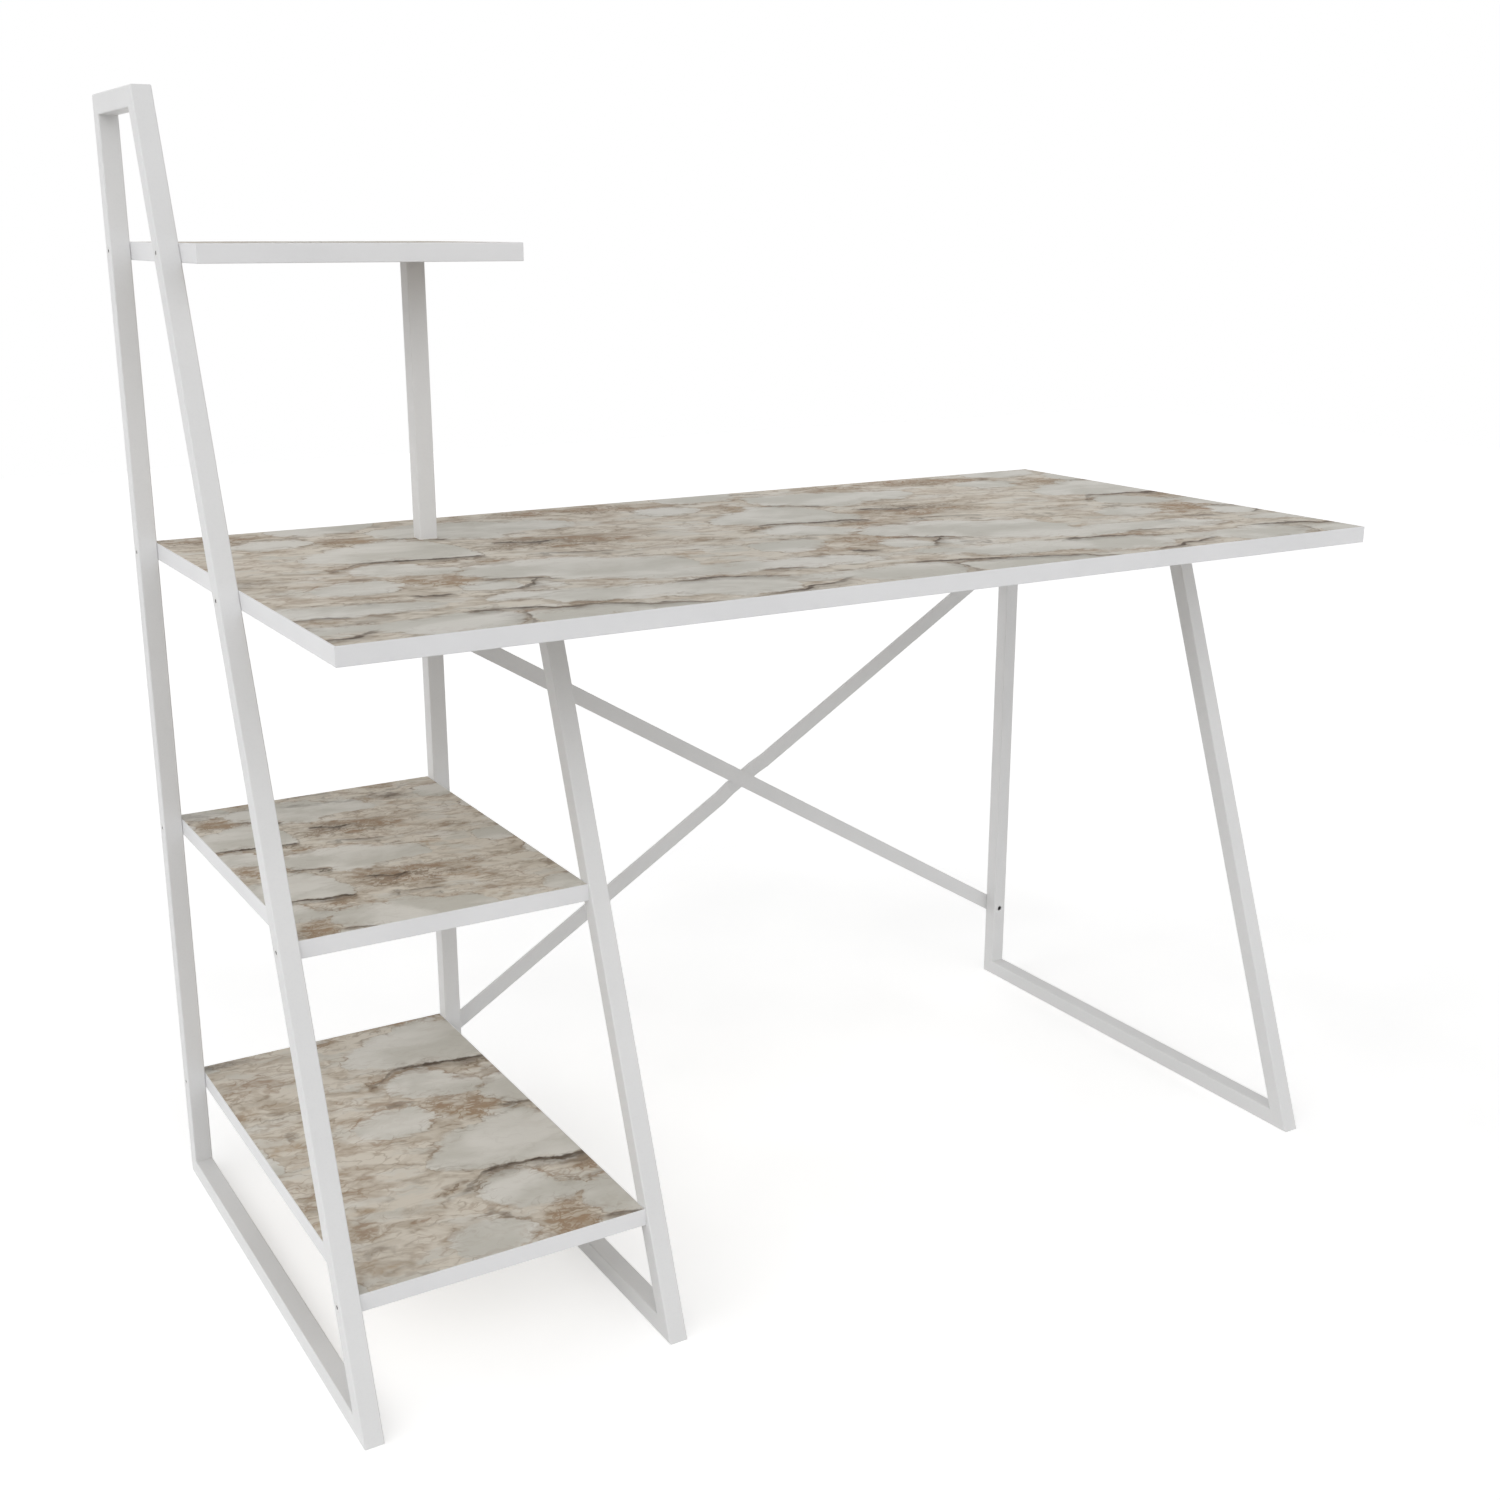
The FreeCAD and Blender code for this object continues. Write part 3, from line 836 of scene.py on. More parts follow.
    def threads(self, graph: Graph, strands: Strands, layers: Layers) -> Socket:
        """Darkness of the thin brown threads, hairs, cells and island rims.

        Args:
            graph: The graph to add to.
            strands: The shared noises.
            layers: Edge, density and halo at this place.

        Returns:
            Darkness from 0 to 1.
        """
        along = graph.math("MULTIPLY", graph.ridge(strands.long_lines, self.long_thread), strands.shown)
        across = graph.ridge(strands.cross_lines, self.cross_thread)
        across = graph.math("MULTIPLY", across, strands.shown_cross)
        threads = graph.math("MAXIMUM", along, graph.math("MULTIPLY", across, self.cross_share))
        hairs = graph.ridge(graph.noise(strands.curled, self.hair), self.hair_width)
        bundled = graph.eased(strands.patches, *self.hair_bundles)
        threads = graph.math("MAXIMUM", threads, graph.math("MULTIPLY", hairs, bundled))
        fullness = graph.math("MULTIPLY_ADD", layers.dense, self.dense_threads, self.open_threads)
        threads = graph.math("MULTIPLY", threads, fullness)
        cells = graph.math("MULTIPLY", graph.ridge(strands.cracks, self.cell_width),
                           graph.math("MULTIPLY", layers.dense, layers.dense))
        calm = graph.eased(layers.edge, *self.calm_inside)
        threads = graph.math("MULTIPLY", graph.math("MAXIMUM", threads, cells), calm)
        off_rim = graph.math("ABSOLUTE", graph.math("ADD", layers.edge, self.rim_set_back))
        rim = graph.math("MULTIPLY", graph.eased(off_rim, *self.dark_on_rim), strands.shown)
        return graph.math("MAXIMUM", threads, rim)

    def stained(self, graph: Graph, strands: Strands, layers: Layers, drifted: Socket,
                colour: Socket) -> Socket:
        """Colour with the ochre stains and grey smudges laid over it.

        Args:
            graph: The graph to add to.
            strands: The shared noises.
            layers: Edge, density and halo at this place.
            drifted: Print coordinates with a wide wander.
            colour: The colour below.

        Returns:
            The stained colour.
        """
        lattice = graph.math("MAXIMUM", graph.ridge(strands.cracks, self.lattice_width), layers.halo)
        rust = graph.math("MULTIPLY", self.clouds(graph, drifted, self.rust),
                          graph.math("MULTIPLY_ADD", lattice, self.lattice_rust, self.plain_rust))
        colour = graph.mix(graph.math("MULTIPLY", rust, self.rust_cover, clamp=True), colour, self.ochre)
        smudge = graph.math("MULTIPLY", self.clouds(graph, drifted, self.smudges),
                            graph.eased(strands.wisps, *self.smudge_wear))
        return graph.mix(graph.math("MULTIPLY", smudge, self.smudge_cover, clamp=True), colour, self.smudge)

    def veins(self, graph: Graph, free: Socket, across: Socket, up: Socket) -> Socket:
        """Darkness of all the listed veins.

        Args:
            graph: The graph to add to.
            free: Print coordinates that don't repeat.
            across: Place across the print, 0 to 1.
            up: Place up the print, 0 to 1.

        Returns:
            Darkness from 0 to 1.
        """
        ink: Value = 0.0
        for row in self.vein_rows:
            lines = self.vein_lines(row, self.along, self.height)
            sides = (self.crisp_side, self.soft_side)
            ink = graph.math("MAXIMUM", ink, self.vein_mark(graph, (across, up), lines, sides, self.reach))
        lines = self.vein_lines(self.upright_veins, self.height, self.along)
        sides = (self.soft_side / 2, self.soft_side / 2)
        ink = graph.math("MAXIMUM", ink, self.vein_mark(graph, (up, across), lines, sides, self.repeat))
        worn = graph.eased(graph.noise(free, self.vein_break), *self.vein_wear)
        return graph.math("MULTIPLY", ink, worn, clamp=True)

    def group(self) -> bpy.types.NodeTree:
        """Node group that gives the print's colour and ink at a place.

        Returns:
            The group, with a place and the Y limits between which the print repeats as inputs.
        """
        tree = bpy.data.node_groups.new("marble_print", "ShaderNodeTree")
        sockets = (
            ("Place", "INPUT", "NodeSocketVector"),
            ("From", "INPUT", "NodeSocketFloat"),
            ("To", "INPUT", "NodeSocketFloat"),
            ("Colour", "OUTPUT", "NodeSocketColor"),
            ("Ink", "OUTPUT", "NodeSocketFloat"),
        )
        for name, side, kind in sockets:
            tree.interface.new_socket(name=name, in_out=side, socket_type=kind)
        graph = Graph(tree)
        inputs = graph.node("NodeGroupInput").outputs
        free = inputs["Place"]

        wide = graph.drift(free, self.wide)
        shift = graph.vector("ADD", graph.vector("MULTIPLY", wide, self.wander),
                             graph.vector("MULTIPLY", graph.drift(free, self.fine), self.fine_wander))
        x, y, _ = graph.parts(graph.vector("ADD", free, shift))
        x = graph.math("WRAP", x, self.repeat, 0.0)
        y = graph.math("WRAP", y, inputs["To"], inputs["From"])
        drifted = graph.vector("MULTIPLY_ADD", wide, self.cloud_wander, graph.joined(x, y))
        across = graph.math("DIVIDE", x, self.repeat)
        up = graph.math("MULTIPLY_ADD", y, 1 / self.reach, -self.lowest / self.reach)

        strands = self.strands(graph, free)
        rim = graph.math("MULTIPLY_ADD", strands.wisps, self.rim_reach, self.spread - self.rim_reach / 2)
        edge = graph.math("ADD", self.island_depth(graph, across, up), rim)
        dense = graph.math("MULTIPLY_ADD", strands.patches, self.patch_gain, self.patch_offset)
        dense = graph.math("MAXIMUM", dense, graph.eased(edge, *self.dense_beside_edge))
        dense = graph.math("ADD", self.clouds(graph, drifted, self.dense), dense, clamp=True)
        layers = Layers(edge, dense, self.halo(graph, strands))

        colour = self.stone(graph, strands, layers)
        threads = self.threads(graph, strands, layers)
        browner = graph.eased(strands.patches, *self.brown_threads)
        brown = graph.mix(browner, self.filament, self.brown_filament)
        colour = graph.mix(graph.math("MULTIPLY", threads, self.thread_cover, clamp=True), colour, brown)
        colour = self.stained(graph, strands, layers, drifted, colour)
        ink = self.veins(graph, free, across, up)
        colour = graph.mix(ink, colour, self.vein)
        colour = graph.mix(graph.eased(graph.noise(free, self.tone), *self.tone_dulling), colour, self.dull)

        outputs = graph.node("NodeGroupOutput").inputs
        graph.feed(outputs["Colour"], colour)
        graph.feed(outputs["Ink"], graph.math("MAXIMUM", ink, threads))
        return tree


class Finish:
    """Base of the desk's finishes: a named material with one Principled shader."""

    name: str

    def material(self) -> bpy.types.Material:
        """Make the material with this finish's nodes.

        Returns:
            The material.
        """
        material = bpy.data.materials.new(self.name)
        material.use_nodes = True
        graph = Graph(material.node_tree)
        shader = material.node_tree.nodes["Principled BSDF"]
        place = graph.node("ShaderNodeTexCoord").outputs["Object"]
        self.dress(graph, shader, place)
        return material

    def dress(self, graph: Graph, shader: bpy.types.Node, place: Socket) -> None:
        """Add this finish's nodes.

        Args:
            graph: The material's graph.
            shader: Its Principled shader.
            place: Object coordinates in metres.
        """
        raise NotImplementedError

    @staticmethod
    def gloss(graph: Graph, shader: bpy.types.Node, wear: Socket, low: float, high: float) -> None:
        """Feed the shader's roughness from a noise.

        Args:
            graph: The material's graph.
            shader: Its Principled shader.
            wear: The noise.
            low: Least roughness.
            high: Greatest roughness.
        """
        roughness = graph.eased(wear, NOISE_SPREAD.low, NOISE_SPREAD.high, low, high)
        graph.feed(shader.inputs["Roughness"], roughness)

    @staticmethod
    def relief(graph: Graph, shader: bpy.types.Node, height: Value, bump: Bump) -> None:
        """Feed the shader's normal from a height.

        Args:
            graph: The material's graph.
            shader: Its Principled shader.
            height: Height from 0 to 1.
            bump: Strength and depth of the relief.
        """
        node = graph.node("ShaderNodeBump")
        node.inputs["Strength"].default_value = bump.strength
        node.inputs["Distance"].default_value = bump.depth
        graph.feed(node.inputs["Height"], height)
        graph.feed(shader.inputs["Normal"], node.outputs[0])


@dataclass(frozen=True)
class PaintFinish(Finish):
    """White powder coat or moulded white: a fine orange-peel skin with a little tone in it."""

    name: str
    light: Colour
    dark: Colour
    roughness: float = 0.46
    peel_scale: float = 900.0
    drift: Grain = Grain(5, 3, 0.55)
    speck: Grain = Grain(420, 2, 0.6)
    wear: Grain = Grain(34, 3, 0.6)
    drift_tone: Step = Step(0.3, 0.7, 0.0, 0.7)
    speck_tone: Step = Step(0.45, 0.75, 0.0, 0.3)
    duller: float = 0.06
    glossier: float = 0.05
    waves_to_peel: float = 9.0
    wave_height: float = 0.8
    bump: Bump = Bump(0.35, 0.00012)

    def dress(self, graph: Graph, shader: bpy.types.Node, place: Socket) -> None:
        """Add the coat's tone, gloss and peel.

        Args:
            graph: The material's graph.
            shader: Its Principled shader.
            place: Object coordinates in metres.
        """
        tone = graph.math("ADD", graph.eased(graph.noise(place, self.drift), *self.drift_tone),
                          graph.eased(graph.noise(place, self.speck), *self.speck_tone))
        graph.feed(shader.inputs["Base Color"], graph.mix(tone, self.light, self.dark))
        self.gloss(graph, shader, graph.noise(place, self.wear),
                   self.roughness - self.glossier, self.roughness + self.duller)
        peel = graph.noise(place, Grain(self.peel_scale))
        waves = graph.noise(place, Grain(self.peel_scale / self.waves_to_peel, 1))
        self.relief(graph, shader, graph.math("MULTIPLY_ADD", waves, self.wave_height, peel), self.bump)


@dataclass(frozen=True)
class BandFinish(Finish):
    """White ABS edge band: satin, with faint draw lines from its trimming."""

    name: str = "white_edge_band_satin"
    light: Colour = shade(232, 232, 233)
    dark: Colour = shade(226, 226, 227)
    smoothest: float = 0.36
    dullest: float = 0.45
    drift: Grain = Grain(7, 3)
    draw_lines: Grain = Grain(1400, 2, 0.6)
    drawn_along: tuple[float, float, float] = (0.03, 0.03, 1.0)
    line_height: float = 0.6
    pearl: Grain = Grain(700)
    bump: Bump = Bump(0.25, 0.00008)

    def dress(self, graph: Graph, shader: bpy.types.Node, place: Socket) -> None:
        """Add the band's tone, gloss and draw lines.

        Args:
            graph: The material's graph.
            shader: Its Principled shader.
            place: Object coordinates in metres.
        """
        drift = graph.eased(graph.noise(place, self.drift), *NOISE_SPREAD)
        graph.feed(shader.inputs["Base Color"], graph.mix(drift, self.light, self.dark))
        drawn = graph.noise(graph.vector("MULTIPLY", place, self.drawn_along), self.draw_lines)
        self.gloss(graph, shader, drawn, self.smoothest, self.dullest)
        height = graph.math("MULTIPLY_ADD", drawn, self.line_height, graph.noise(place, self.pearl))
        self.relief(graph, shader, height, self.bump)


@dataclass(frozen=True)
class ZincFinish(Finish):
    """Zinc-plated steel of the rivet nuts."""

    name: str = "zinc_plate"
    light: Colour = shade(206, 207, 210)
    dark: Colour = shade(176, 176, 174)
    smoothest: float = 0.28
    dullest: float = 0.5
    bloom: Grain = Grain(260, 4, 0.6)
    pits: Grain = Grain(1600)
    bump: Bump = Bump(0.2, 0.00006)

    def dress(self, graph: Graph, shader: bpy.types.Node, place: Socket) -> None:
        """Add the plating's bloom.

        Args:
            graph: The material's graph.
            shader: Its Principled shader.
            place: Object coordinates in metres.
        """
        shader.inputs["Metallic"].default_value = 1.0
        bloom = graph.noise(place, self.bloom)
        colour = graph.mix(graph.eased(bloom, *NOISE_SPREAD), self.light, self.dark)
        graph.feed(shader.inputs["Base Color"], colour)
        self.gloss(graph, shader, bloom, self.smoothest, self.dullest)
        self.relief(graph, shader, graph.noise(place, self.pits), self.bump)


@dataclass(frozen=True)
class PaintedSteel(Finish):
    """Painted fastener with dark steel along its shank and in its socket, where the dark colour is also
    painted shade of the socket's hollow.
    """

    name: str
    light: Colour = shade(228, 228, 227)
    dark: Colour = shade(218, 217, 215)
    # Dark steel of the shank, and painted shade in the socket: the socket is coloured this dark to stand for
    # the shade in its hollow.
    steel_and_socket_shade: Colour = shade(88, 86, 84)
    darker_steel_and_socket_shade: Colour = shade(64, 62, 60)
    smoothest: float = 0.38
    dullest: float = 0.52
    bare_metal: float = 0.8
    speck: Grain = Grain(500, 3, 0.6)
    paint_speck: Step = Step(0.35, 0.7)
    skin: Grain = Grain(1200)
    bump: Bump = Bump(0.25, 0.00006)

    def painted(self, graph: Graph, place: Socket) -> Socket:
        """1 where the steel is painted and 0 where it is dark: bare steel on the shank, painted shade in the
        socket.

        Args:
            graph: The material's graph.
            place: Object coordinates in metres.

        Returns:
            The paint's share.
        """
        raise NotImplementedError

    def dress(self, graph: Graph, shader: bpy.types.Node, place: Socket) -> None:
        """Add paint, and dark steel that is bare on the shank and painted shade in the socket.

        Args:
            graph: The material's graph.
            shader: Its Principled shader.
            place: Object coordinates in metres.
        """
        painted = self.painted(graph, place)
        speck = graph.noise(place, self.speck)
        paint = graph.mix(graph.eased(speck, *self.paint_speck), self.light, self.dark)
        # Dark colour of the unpainted parts: bare steel on the shank, painted shade in the socket.
        bare_steel_and_socket_shade = graph.mix(graph.eased(speck, *NOISE_SPREAD), self.steel_and_socket_shade, self.darker_steel_and_socket_shade)
        graph.feed(shader.inputs["Base Color"], graph.mix(painted, bare_steel_and_socket_shade, paint))
        self.gloss(graph, shader, speck, self.smoothest, self.dullest)
        metal = graph.math("MULTIPLY_ADD", painted, -self.bare_metal, self.bare_metal)
        graph.feed(shader.inputs["Metallic"], metal)
        self.relief(graph, shader, graph.noise(place, self.skin), self.bump)


@dataclass(frozen=True)
class ScrewFinish(PaintedSteel):
    """Painted on the planes where the screws' heads lie; below them the socket gets the dark colour as
    painted shade.
    """

    axis: Vector = Vector((0, 0, 1))
    head_planes: tuple[float, ...] = ()
    paint_depth: float = 0.0004

    def painted(self, graph: Graph, place: Socket) -> Socket:
        """1 within a skin of a head's plane and 0 elsewhere.

        Args:
            graph: The material's graph.
            place: Object coordinates in metres.

        Returns:
            The paint's share.
        """
        level = graph.vector("DOT_PRODUCT", place, tuple(self.axis))
        painted: Value = 0.0
        for plane in self.head_planes:
            off = graph.math("ABSOLUTE", graph.math("SUBTRACT", level, plane))
            painted = graph.math("MAXIMUM", painted, graph.math("LESS_THAN", off, self.paint_depth))
        return painted


@dataclass(frozen=True)
class BoltFinish(PaintedSteel):
    """Painted on the faces that aren't marked for the dark colour, which is bare steel on the shank and
    painted shade in the socket.
    """

    name: str = "painted_button_head"
    dark: Colour = shade(217, 216, 214)
    steel_and_socket_shade: Colour = shade(92, 90, 88)
    darker_steel_and_socket_shade: Colour = shade(66, 64, 62)
    smoothest: float = 0.36
    dullest: float = 0.5
    attribute: str = "bare_steel_and_socket_shade"

    def painted(self, graph: Graph, place: Socket) -> Socket:
        """1 where the faces' own attribute is 0."""
        bare_steel_and_socket_shade = graph.node("ShaderNodeAttribute", attribute_name=self.attribute).outputs["Fac"]
        return graph.math("SUBTRACT", 1.0, bare_steel_and_socket_shade)


@dataclass(frozen=True)
class LaminateFinish(Finish):
    """Printed melamine faces on a chipboard core."""

    name: str
    pattern: bpy.types.NodeTree
    corner: Vector
    offset: Point
    scale: float
    limits: Point
    middle_height: float
    half_core: float
    marks: tuple[Cloud, ...] = ()
    mark: Colour = shade(104, 92, 82)
    mark_fade: Step = Step(0.2, 1.2)
    mark_drift: Grain = PrintGrain(55, 3, 0.6)
    mark_wander: tuple[float, float, float] = (0.03, 0.02, 0.0)
    smoke: Grain = PrintGrain(120, 3, 0.6, turn=-12, stretch=2.5)
    smoke_wear: Step = Step(0.25, 0.7, 1.0, 0.35)
    roughness: float = 0.56
    ink_roughness: float = 0.05
    core_roughness: float = 0.4
    sheen: Grain = Grain(18, 3, 0.6)
    sheen_change: Step = Step(0.3, 0.7, -0.03, 0.04)
    specular: float = 0.1
    chip_light: Colour = shade(196, 168, 130)
    chip_dark: Colour = shade(150, 120, 86)
    chip: Grain = Grain(260, 3, 0.7, 0.6)
    chip_size: tuple[float, float, float] = (1.0, 1.0, 2.5)
    chip_tone: Step = Step(0.35, 0.65)
    pearl: Grain = Grain(1300)
    ink_height: float = -0.3
    bump: Bump = Bump(0.2, 0.00006)

    def dress(self, graph: Graph, shader: bpy.types.Node, place: Socket) -> None:
        """Lay the print on both faces and chips on the cut core.

        Args:
            graph: The material's graph.
            shader: Its Principled shader.
            place: Object coordinates in metres.
        """
        moved = graph.vector("SUBTRACT", place, (self.corner.x, self.corner.y, 0.0))
        moved = graph.vector("MULTIPLY_ADD", moved, (1 / self.scale, 1 / self.scale, 0.0),
                             (self.offset[0] * MM, self.offset[1] * MM, 0.0))
        printed = graph.node("ShaderNodeGroup", node_tree=self.pattern)
        graph.feed(printed.inputs["Place"], moved)
        printed.inputs["From"].default_value = self.limits[0] * MM
        printed.inputs["To"].default_value = self.limits[1] * MM

        colour, ink = printed.outputs["Colour"], printed.outputs["Ink"]
        if self.marks:
            colour = self.marked(graph, place, colour)

        height = graph.parts(place)[2]
        off = graph.math("ABSOLUTE", graph.math("SUBTRACT", height, self.middle_height))
        face = graph.math("GREATER_THAN", off, self.half_core)
        chips = graph.noise(graph.vector("MULTIPLY", place, self.chip_size), self.chip)
        core = graph.mix(graph.eased(chips, *self.chip_tone), self.chip_light, self.chip_dark)
        graph.feed(shader.inputs["Base Color"], graph.mix(face, core, colour))

        satin = graph.math("MULTIPLY_ADD", ink, self.ink_roughness, self.roughness)
        satin = graph.math("ADD", satin, graph.eased(graph.noise(place, self.sheen), *self.sheen_change))
        cut = graph.math("SUBTRACT", 1.0, face)
        graph.feed(shader.inputs["Roughness"], graph.math("MULTIPLY_ADD", cut, self.core_roughness, satin))
        shader.inputs["Specular IOR Level"].default_value = self.specular
        relief = graph.math("MULTIPLY_ADD", ink, self.ink_height, graph.noise(place, self.pearl))
        self.relief(graph, shader, relief, self.bump)

    def marked(self, graph: Graph, place: Socket, colour: Socket) -> Socket:
        """Colour with the smoky marks that this board alone shows.

        Args:
            graph: The material's graph.
            place: Object coordinates in metres.
            colour: The print's colour.

        Returns:
            The marked colour.
        """
        off = graph.vector("SUBTRACT", place, (self.corner.x, self.corner.y, 0.0))
        off = graph.vector("MULTIPLY_ADD", graph.drift(off, self.mark_drift), self.mark_wander, off)
        smoke = graph.eased(graph.noise(off, self.smoke), *self.smoke_wear)
        for cloud in self.marks:
            flat = graph.vector("MULTIPLY", graph.vector("SUBTRACT", off, cloud.centre()), (1.0, 1.0, 0.0))
            inside = graph.math("MULTIPLY", cloud.inside(graph, flat, self.mark_fade), smoke)
            colour = graph.mix(inside, colour, self.mark)
        return colour


def dress_node(name: str, material: bpy.types.Material) -> None:
    """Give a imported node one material.

    Args:
        name: The node's name.
        material: The material for its slots.
    """
    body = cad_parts[name]
    if not body.material_slots:
        body.data.materials.append(material)
    for slot in body.material_slots:
        slot.material = material
    log.info("dressed %s in %s", name, material.name)


@dataclass
class BandedBoard:
    """A board of the desk with its four edge bands, and its place on the print in millimetres."""

    name: str
    offset: Point
    scale: float = 1.0
    limits: Point = (-20.0, 620.0)
    marks: tuple[Cloud, ...] = ()
    skin: float = 0.0003

    def dress(self, pattern: bpy.types.NodeTree, corner: Vector, band: bpy.types.Material) -> None:
        """Dress the board and its bands.

        Args:
            pattern: The print's node group.
            corner: The desktop's left front corner.
            band: Material of the bands.
        """
        low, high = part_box(self.name + "_board")
        finish = LaminateFinish(
            name="marble_print_" + self.name,
            pattern=pattern,
            corner=corner,
            offset=self.offset,
            scale=self.scale,
            limits=self.limits,
            middle_height=(low.z + high.z) / 2,
            half_core=(high.z - low.z) / 2 - self.skin,
            marks=self.marks,
        )
        dress_node(self.name + "_board", finish.material())
        for side in Side:
            dress_node(f"{self.name}_{side.value}_edge_band", band)


@dataclass
class WeldedFrame:
    """One of the desk's frames: four mitred tubes welded and coated together."""

    name: str

    def dress(self, coat: bpy.types.Material) -> None:
        """Dress the four tubes in the coat."""
        for tube in Tube:
            dress_node(f"{self.name}_{tube.value}", coat)


@dataclass
class ShelfPost:
    """Short post under the upper shelf, with a moulded plug at each end."""

    name: str = "shelf_post"

    def dress(self, coat: bpy.types.Material, moulded: bpy.types.Material) -> None:
        """Dress the tube and its plugs.

        Args:
            coat: Material of the tube.
            moulded: Material of the plugs.
        """
        dress_node(self.name + "_tube", coat)
        for end in PlugEnd:
            dress_node(f"{self.name}_{end.value}_plug", moulded)


@dataclass
class ButtonHeadBolt:
    """Button-head bolt, made head up about Z with its seat at zero."""

    head_radius: float = 5.25 * MM
    head_height: float = 3.3 * MM
    rim_height: float = 0.5 * MM
    crown_radius: float = 2.9 * MM
    shank_radius: float = 3.0 * MM
    shank_length: float = 12.0 * MM
    point: float = 0.5 * MM
    socket_flats: float = 4.0 * MM
    socket_depth: float = 2.0 * MM
    dome_steps: int = 7
    turns: int = 48
    corners: int = 6
    steel_and_socket_shade_layer: str = "bare_steel_and_socket_shade"
    crease: float = math.radians(32)
    weld: float = MM / 1000

    def outline(self) -> list[Point]:
        """Half section of the bolt, from the tip of the shank to the edge of the crown.

        Returns:
            Its points as (radius, height).
        """
        points = [
            (0.0, -self.shank_length),
            (self.shank_radius - self.point, -self.shank_length),
            (self.shank_radius, -self.shank_length + self.point),
            (self.shank_radius, 0.0),
            (self.head_radius - self.point / 2, 0.0),
            (self.head_radius, self.point / 2),
        ]
        for step in range(self.dome_steps + 1):
            angle = math.radians(90) * step / self.dome_steps
            points.append((self.crown_radius + (self.head_radius - self.crown_radius) * math.cos(angle),
                           self.rim_height + (self.head_height - self.rim_height) * math.sin(angle)))
        return points

    def shape(self) -> bmesh.types.BMesh:
        """Closed bolt as a new bmesh, its socket and shank marked for the dark colour: bare steel on the
        shank, painted shade in the socket.

        Returns:
            The bmesh.
        """
        bolt = bmesh.new()
        points = [bolt.verts.new((radius, 0.0, height)) for radius, height in self.outline()]
        edges = [bolt.edges.new(pair) for pair in zip(points, points[1:])]
        bmesh.ops.spin(
            bolt, geom=points + edges, cent=(0, 0, 0), axis=(0, 0, 1), dvec=(0, 0, 0),
            angle=math.tau, steps=self.turns, use_merge=True, use_normal_flip=False, use_duplicate=False)
        bmesh.ops.remove_doubles(bolt, verts=bolt.verts, dist=self.weld)
        rim = [edge for edge in bolt.edges if edge.is_boundary]
        bmesh.ops.create_circle(
            bolt, cap_ends=False, segments=self.corners, radius=self.socket_flats / math.sqrt(3),
            matrix=Matrix.Translation((0, 0, self.head_height)))
        sides = [edge for edge in bolt.edges if not edge.link_faces]
        bmesh.ops.subdivide_edges(bolt, edges=sides, cuts=self.turns // self.corners - 1)
        mouth = [edge for edge in bolt.edges if not edge.link_faces]
        bmesh.ops.bridge_loops(bolt, edges=rim + mouth)
        walls = bmesh.ops.extrude_edge_only(bolt, edges=mouth)["geom"]
        floor = [part for part in walls if isinstance(part, bmesh.types.BMVert)]
        bmesh.ops.translate(bolt, verts=floor, vec=(0, 0, -self.socket_depth))
        open_edges = [edge for edge in bolt.edges if edge.is_boundary]
        bmesh.ops.holes_fill(bolt, edges=open_edges, sides=0)
        bmesh.ops.recalc_face_normals(bolt, faces=bolt.faces)
        # Mark of the dark colour: bare steel on the shank, painted shade in the socket.
        bare_steel_and_socket_shade = bolt.faces.layers.float.new(self.steel_and_socket_shade_layer)
        for face in bolt.faces:
            centre = face.calc_center_median()
            in_socket = Vector((centre.x, centre.y)).length < self.crown_radius - self.point
            below_crown = centre.z < self.head_height - self.point / 10
            face[bare_steel_and_socket_shade] = 1.0 if centre.z < 0 or (in_socket and below_crown) else 0.0
            face.smooth = True
        for edge in bolt.edges:
            if edge.calc_face_angle(0.0) > self.crease:
                edge.smooth = False
        return bolt


@dataclass
class CrossedBrace:
    """Crossed brace of flat bar behind the knee space, with the bolts that hold its ends."""

    bolts_name: str = "brace_button_head_bolts"
    bars: tuple[str, ...] = ("brace_straight_bar", "brace_cranked_bar")
    key_turn: float = math.radians(17)

    def bolt_places(self, bolt: ButtonHeadBolt) -> list[Vector]:
        """Centres of the bolts' seats on the rear faces of the bars.

        Args:
            bolt: The bolt, for its head's radius and height.

        Returns:
            One place a bolt.
        """
        low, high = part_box("brace_bolts")
        seat = high.y - bolt.head_height
        inset = bolt.head_radius
        return [Vector((x, seat, z))
                for x in (low.x + inset, high.x - inset) for z in (low.z + inset, high.z - inset)]

    def bolts(self, finish: BoltFinish) -> bpy.types.Object:
        """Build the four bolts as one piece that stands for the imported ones.

        Args:
            finish: Their finish.

        Returns:
            The piece.
        """
        pattern = ButtonHeadBolt()
        upright_to_rear = Matrix.Rotation(math.radians(-90), 4, "X")
        mesh = bpy.data.meshes.new(self.bolts_name)
        whole = bmesh.new()
        for count, place in enumerate(self.bolt_places(pattern)):
            bolt = pattern.shape()
            turn = Matrix.Rotation(self.key_turn * count, 4, "Z")
            bmesh.ops.transform(
                bolt, matrix=Matrix.Translation(place) @ upright_to_rear @ turn, verts=bolt.verts)
            part = bpy.data.meshes.new("bolt")
            bolt.to_mesh(part)
            bolt.free()
            whole.from_mesh(part)
            bpy.data.meshes.remove(part)
        whole.to_mesh(mesh)
        whole.free()
        piece = bpy.data.objects.new(self.bolts_name, mesh)
        bpy.context.scene.collection.objects.link(piece)
        mesh.materials.append(finish.material())
        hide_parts("brace_bolts")
        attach(piece, "root")
        log.info("built %s", piece.name)
        return piece

    def dress(self, coat: bpy.types.Material, zinc: bpy.types.Material) -> None:
        """Dress the bars and rivet nuts.

        Args:
            coat: Material of the bars.
            zinc: Material of the rivet nuts.
        """
        for bar in self.bars:
            dress_node(bar, coat)
        dress_node("brace_rivet_nuts", zinc)


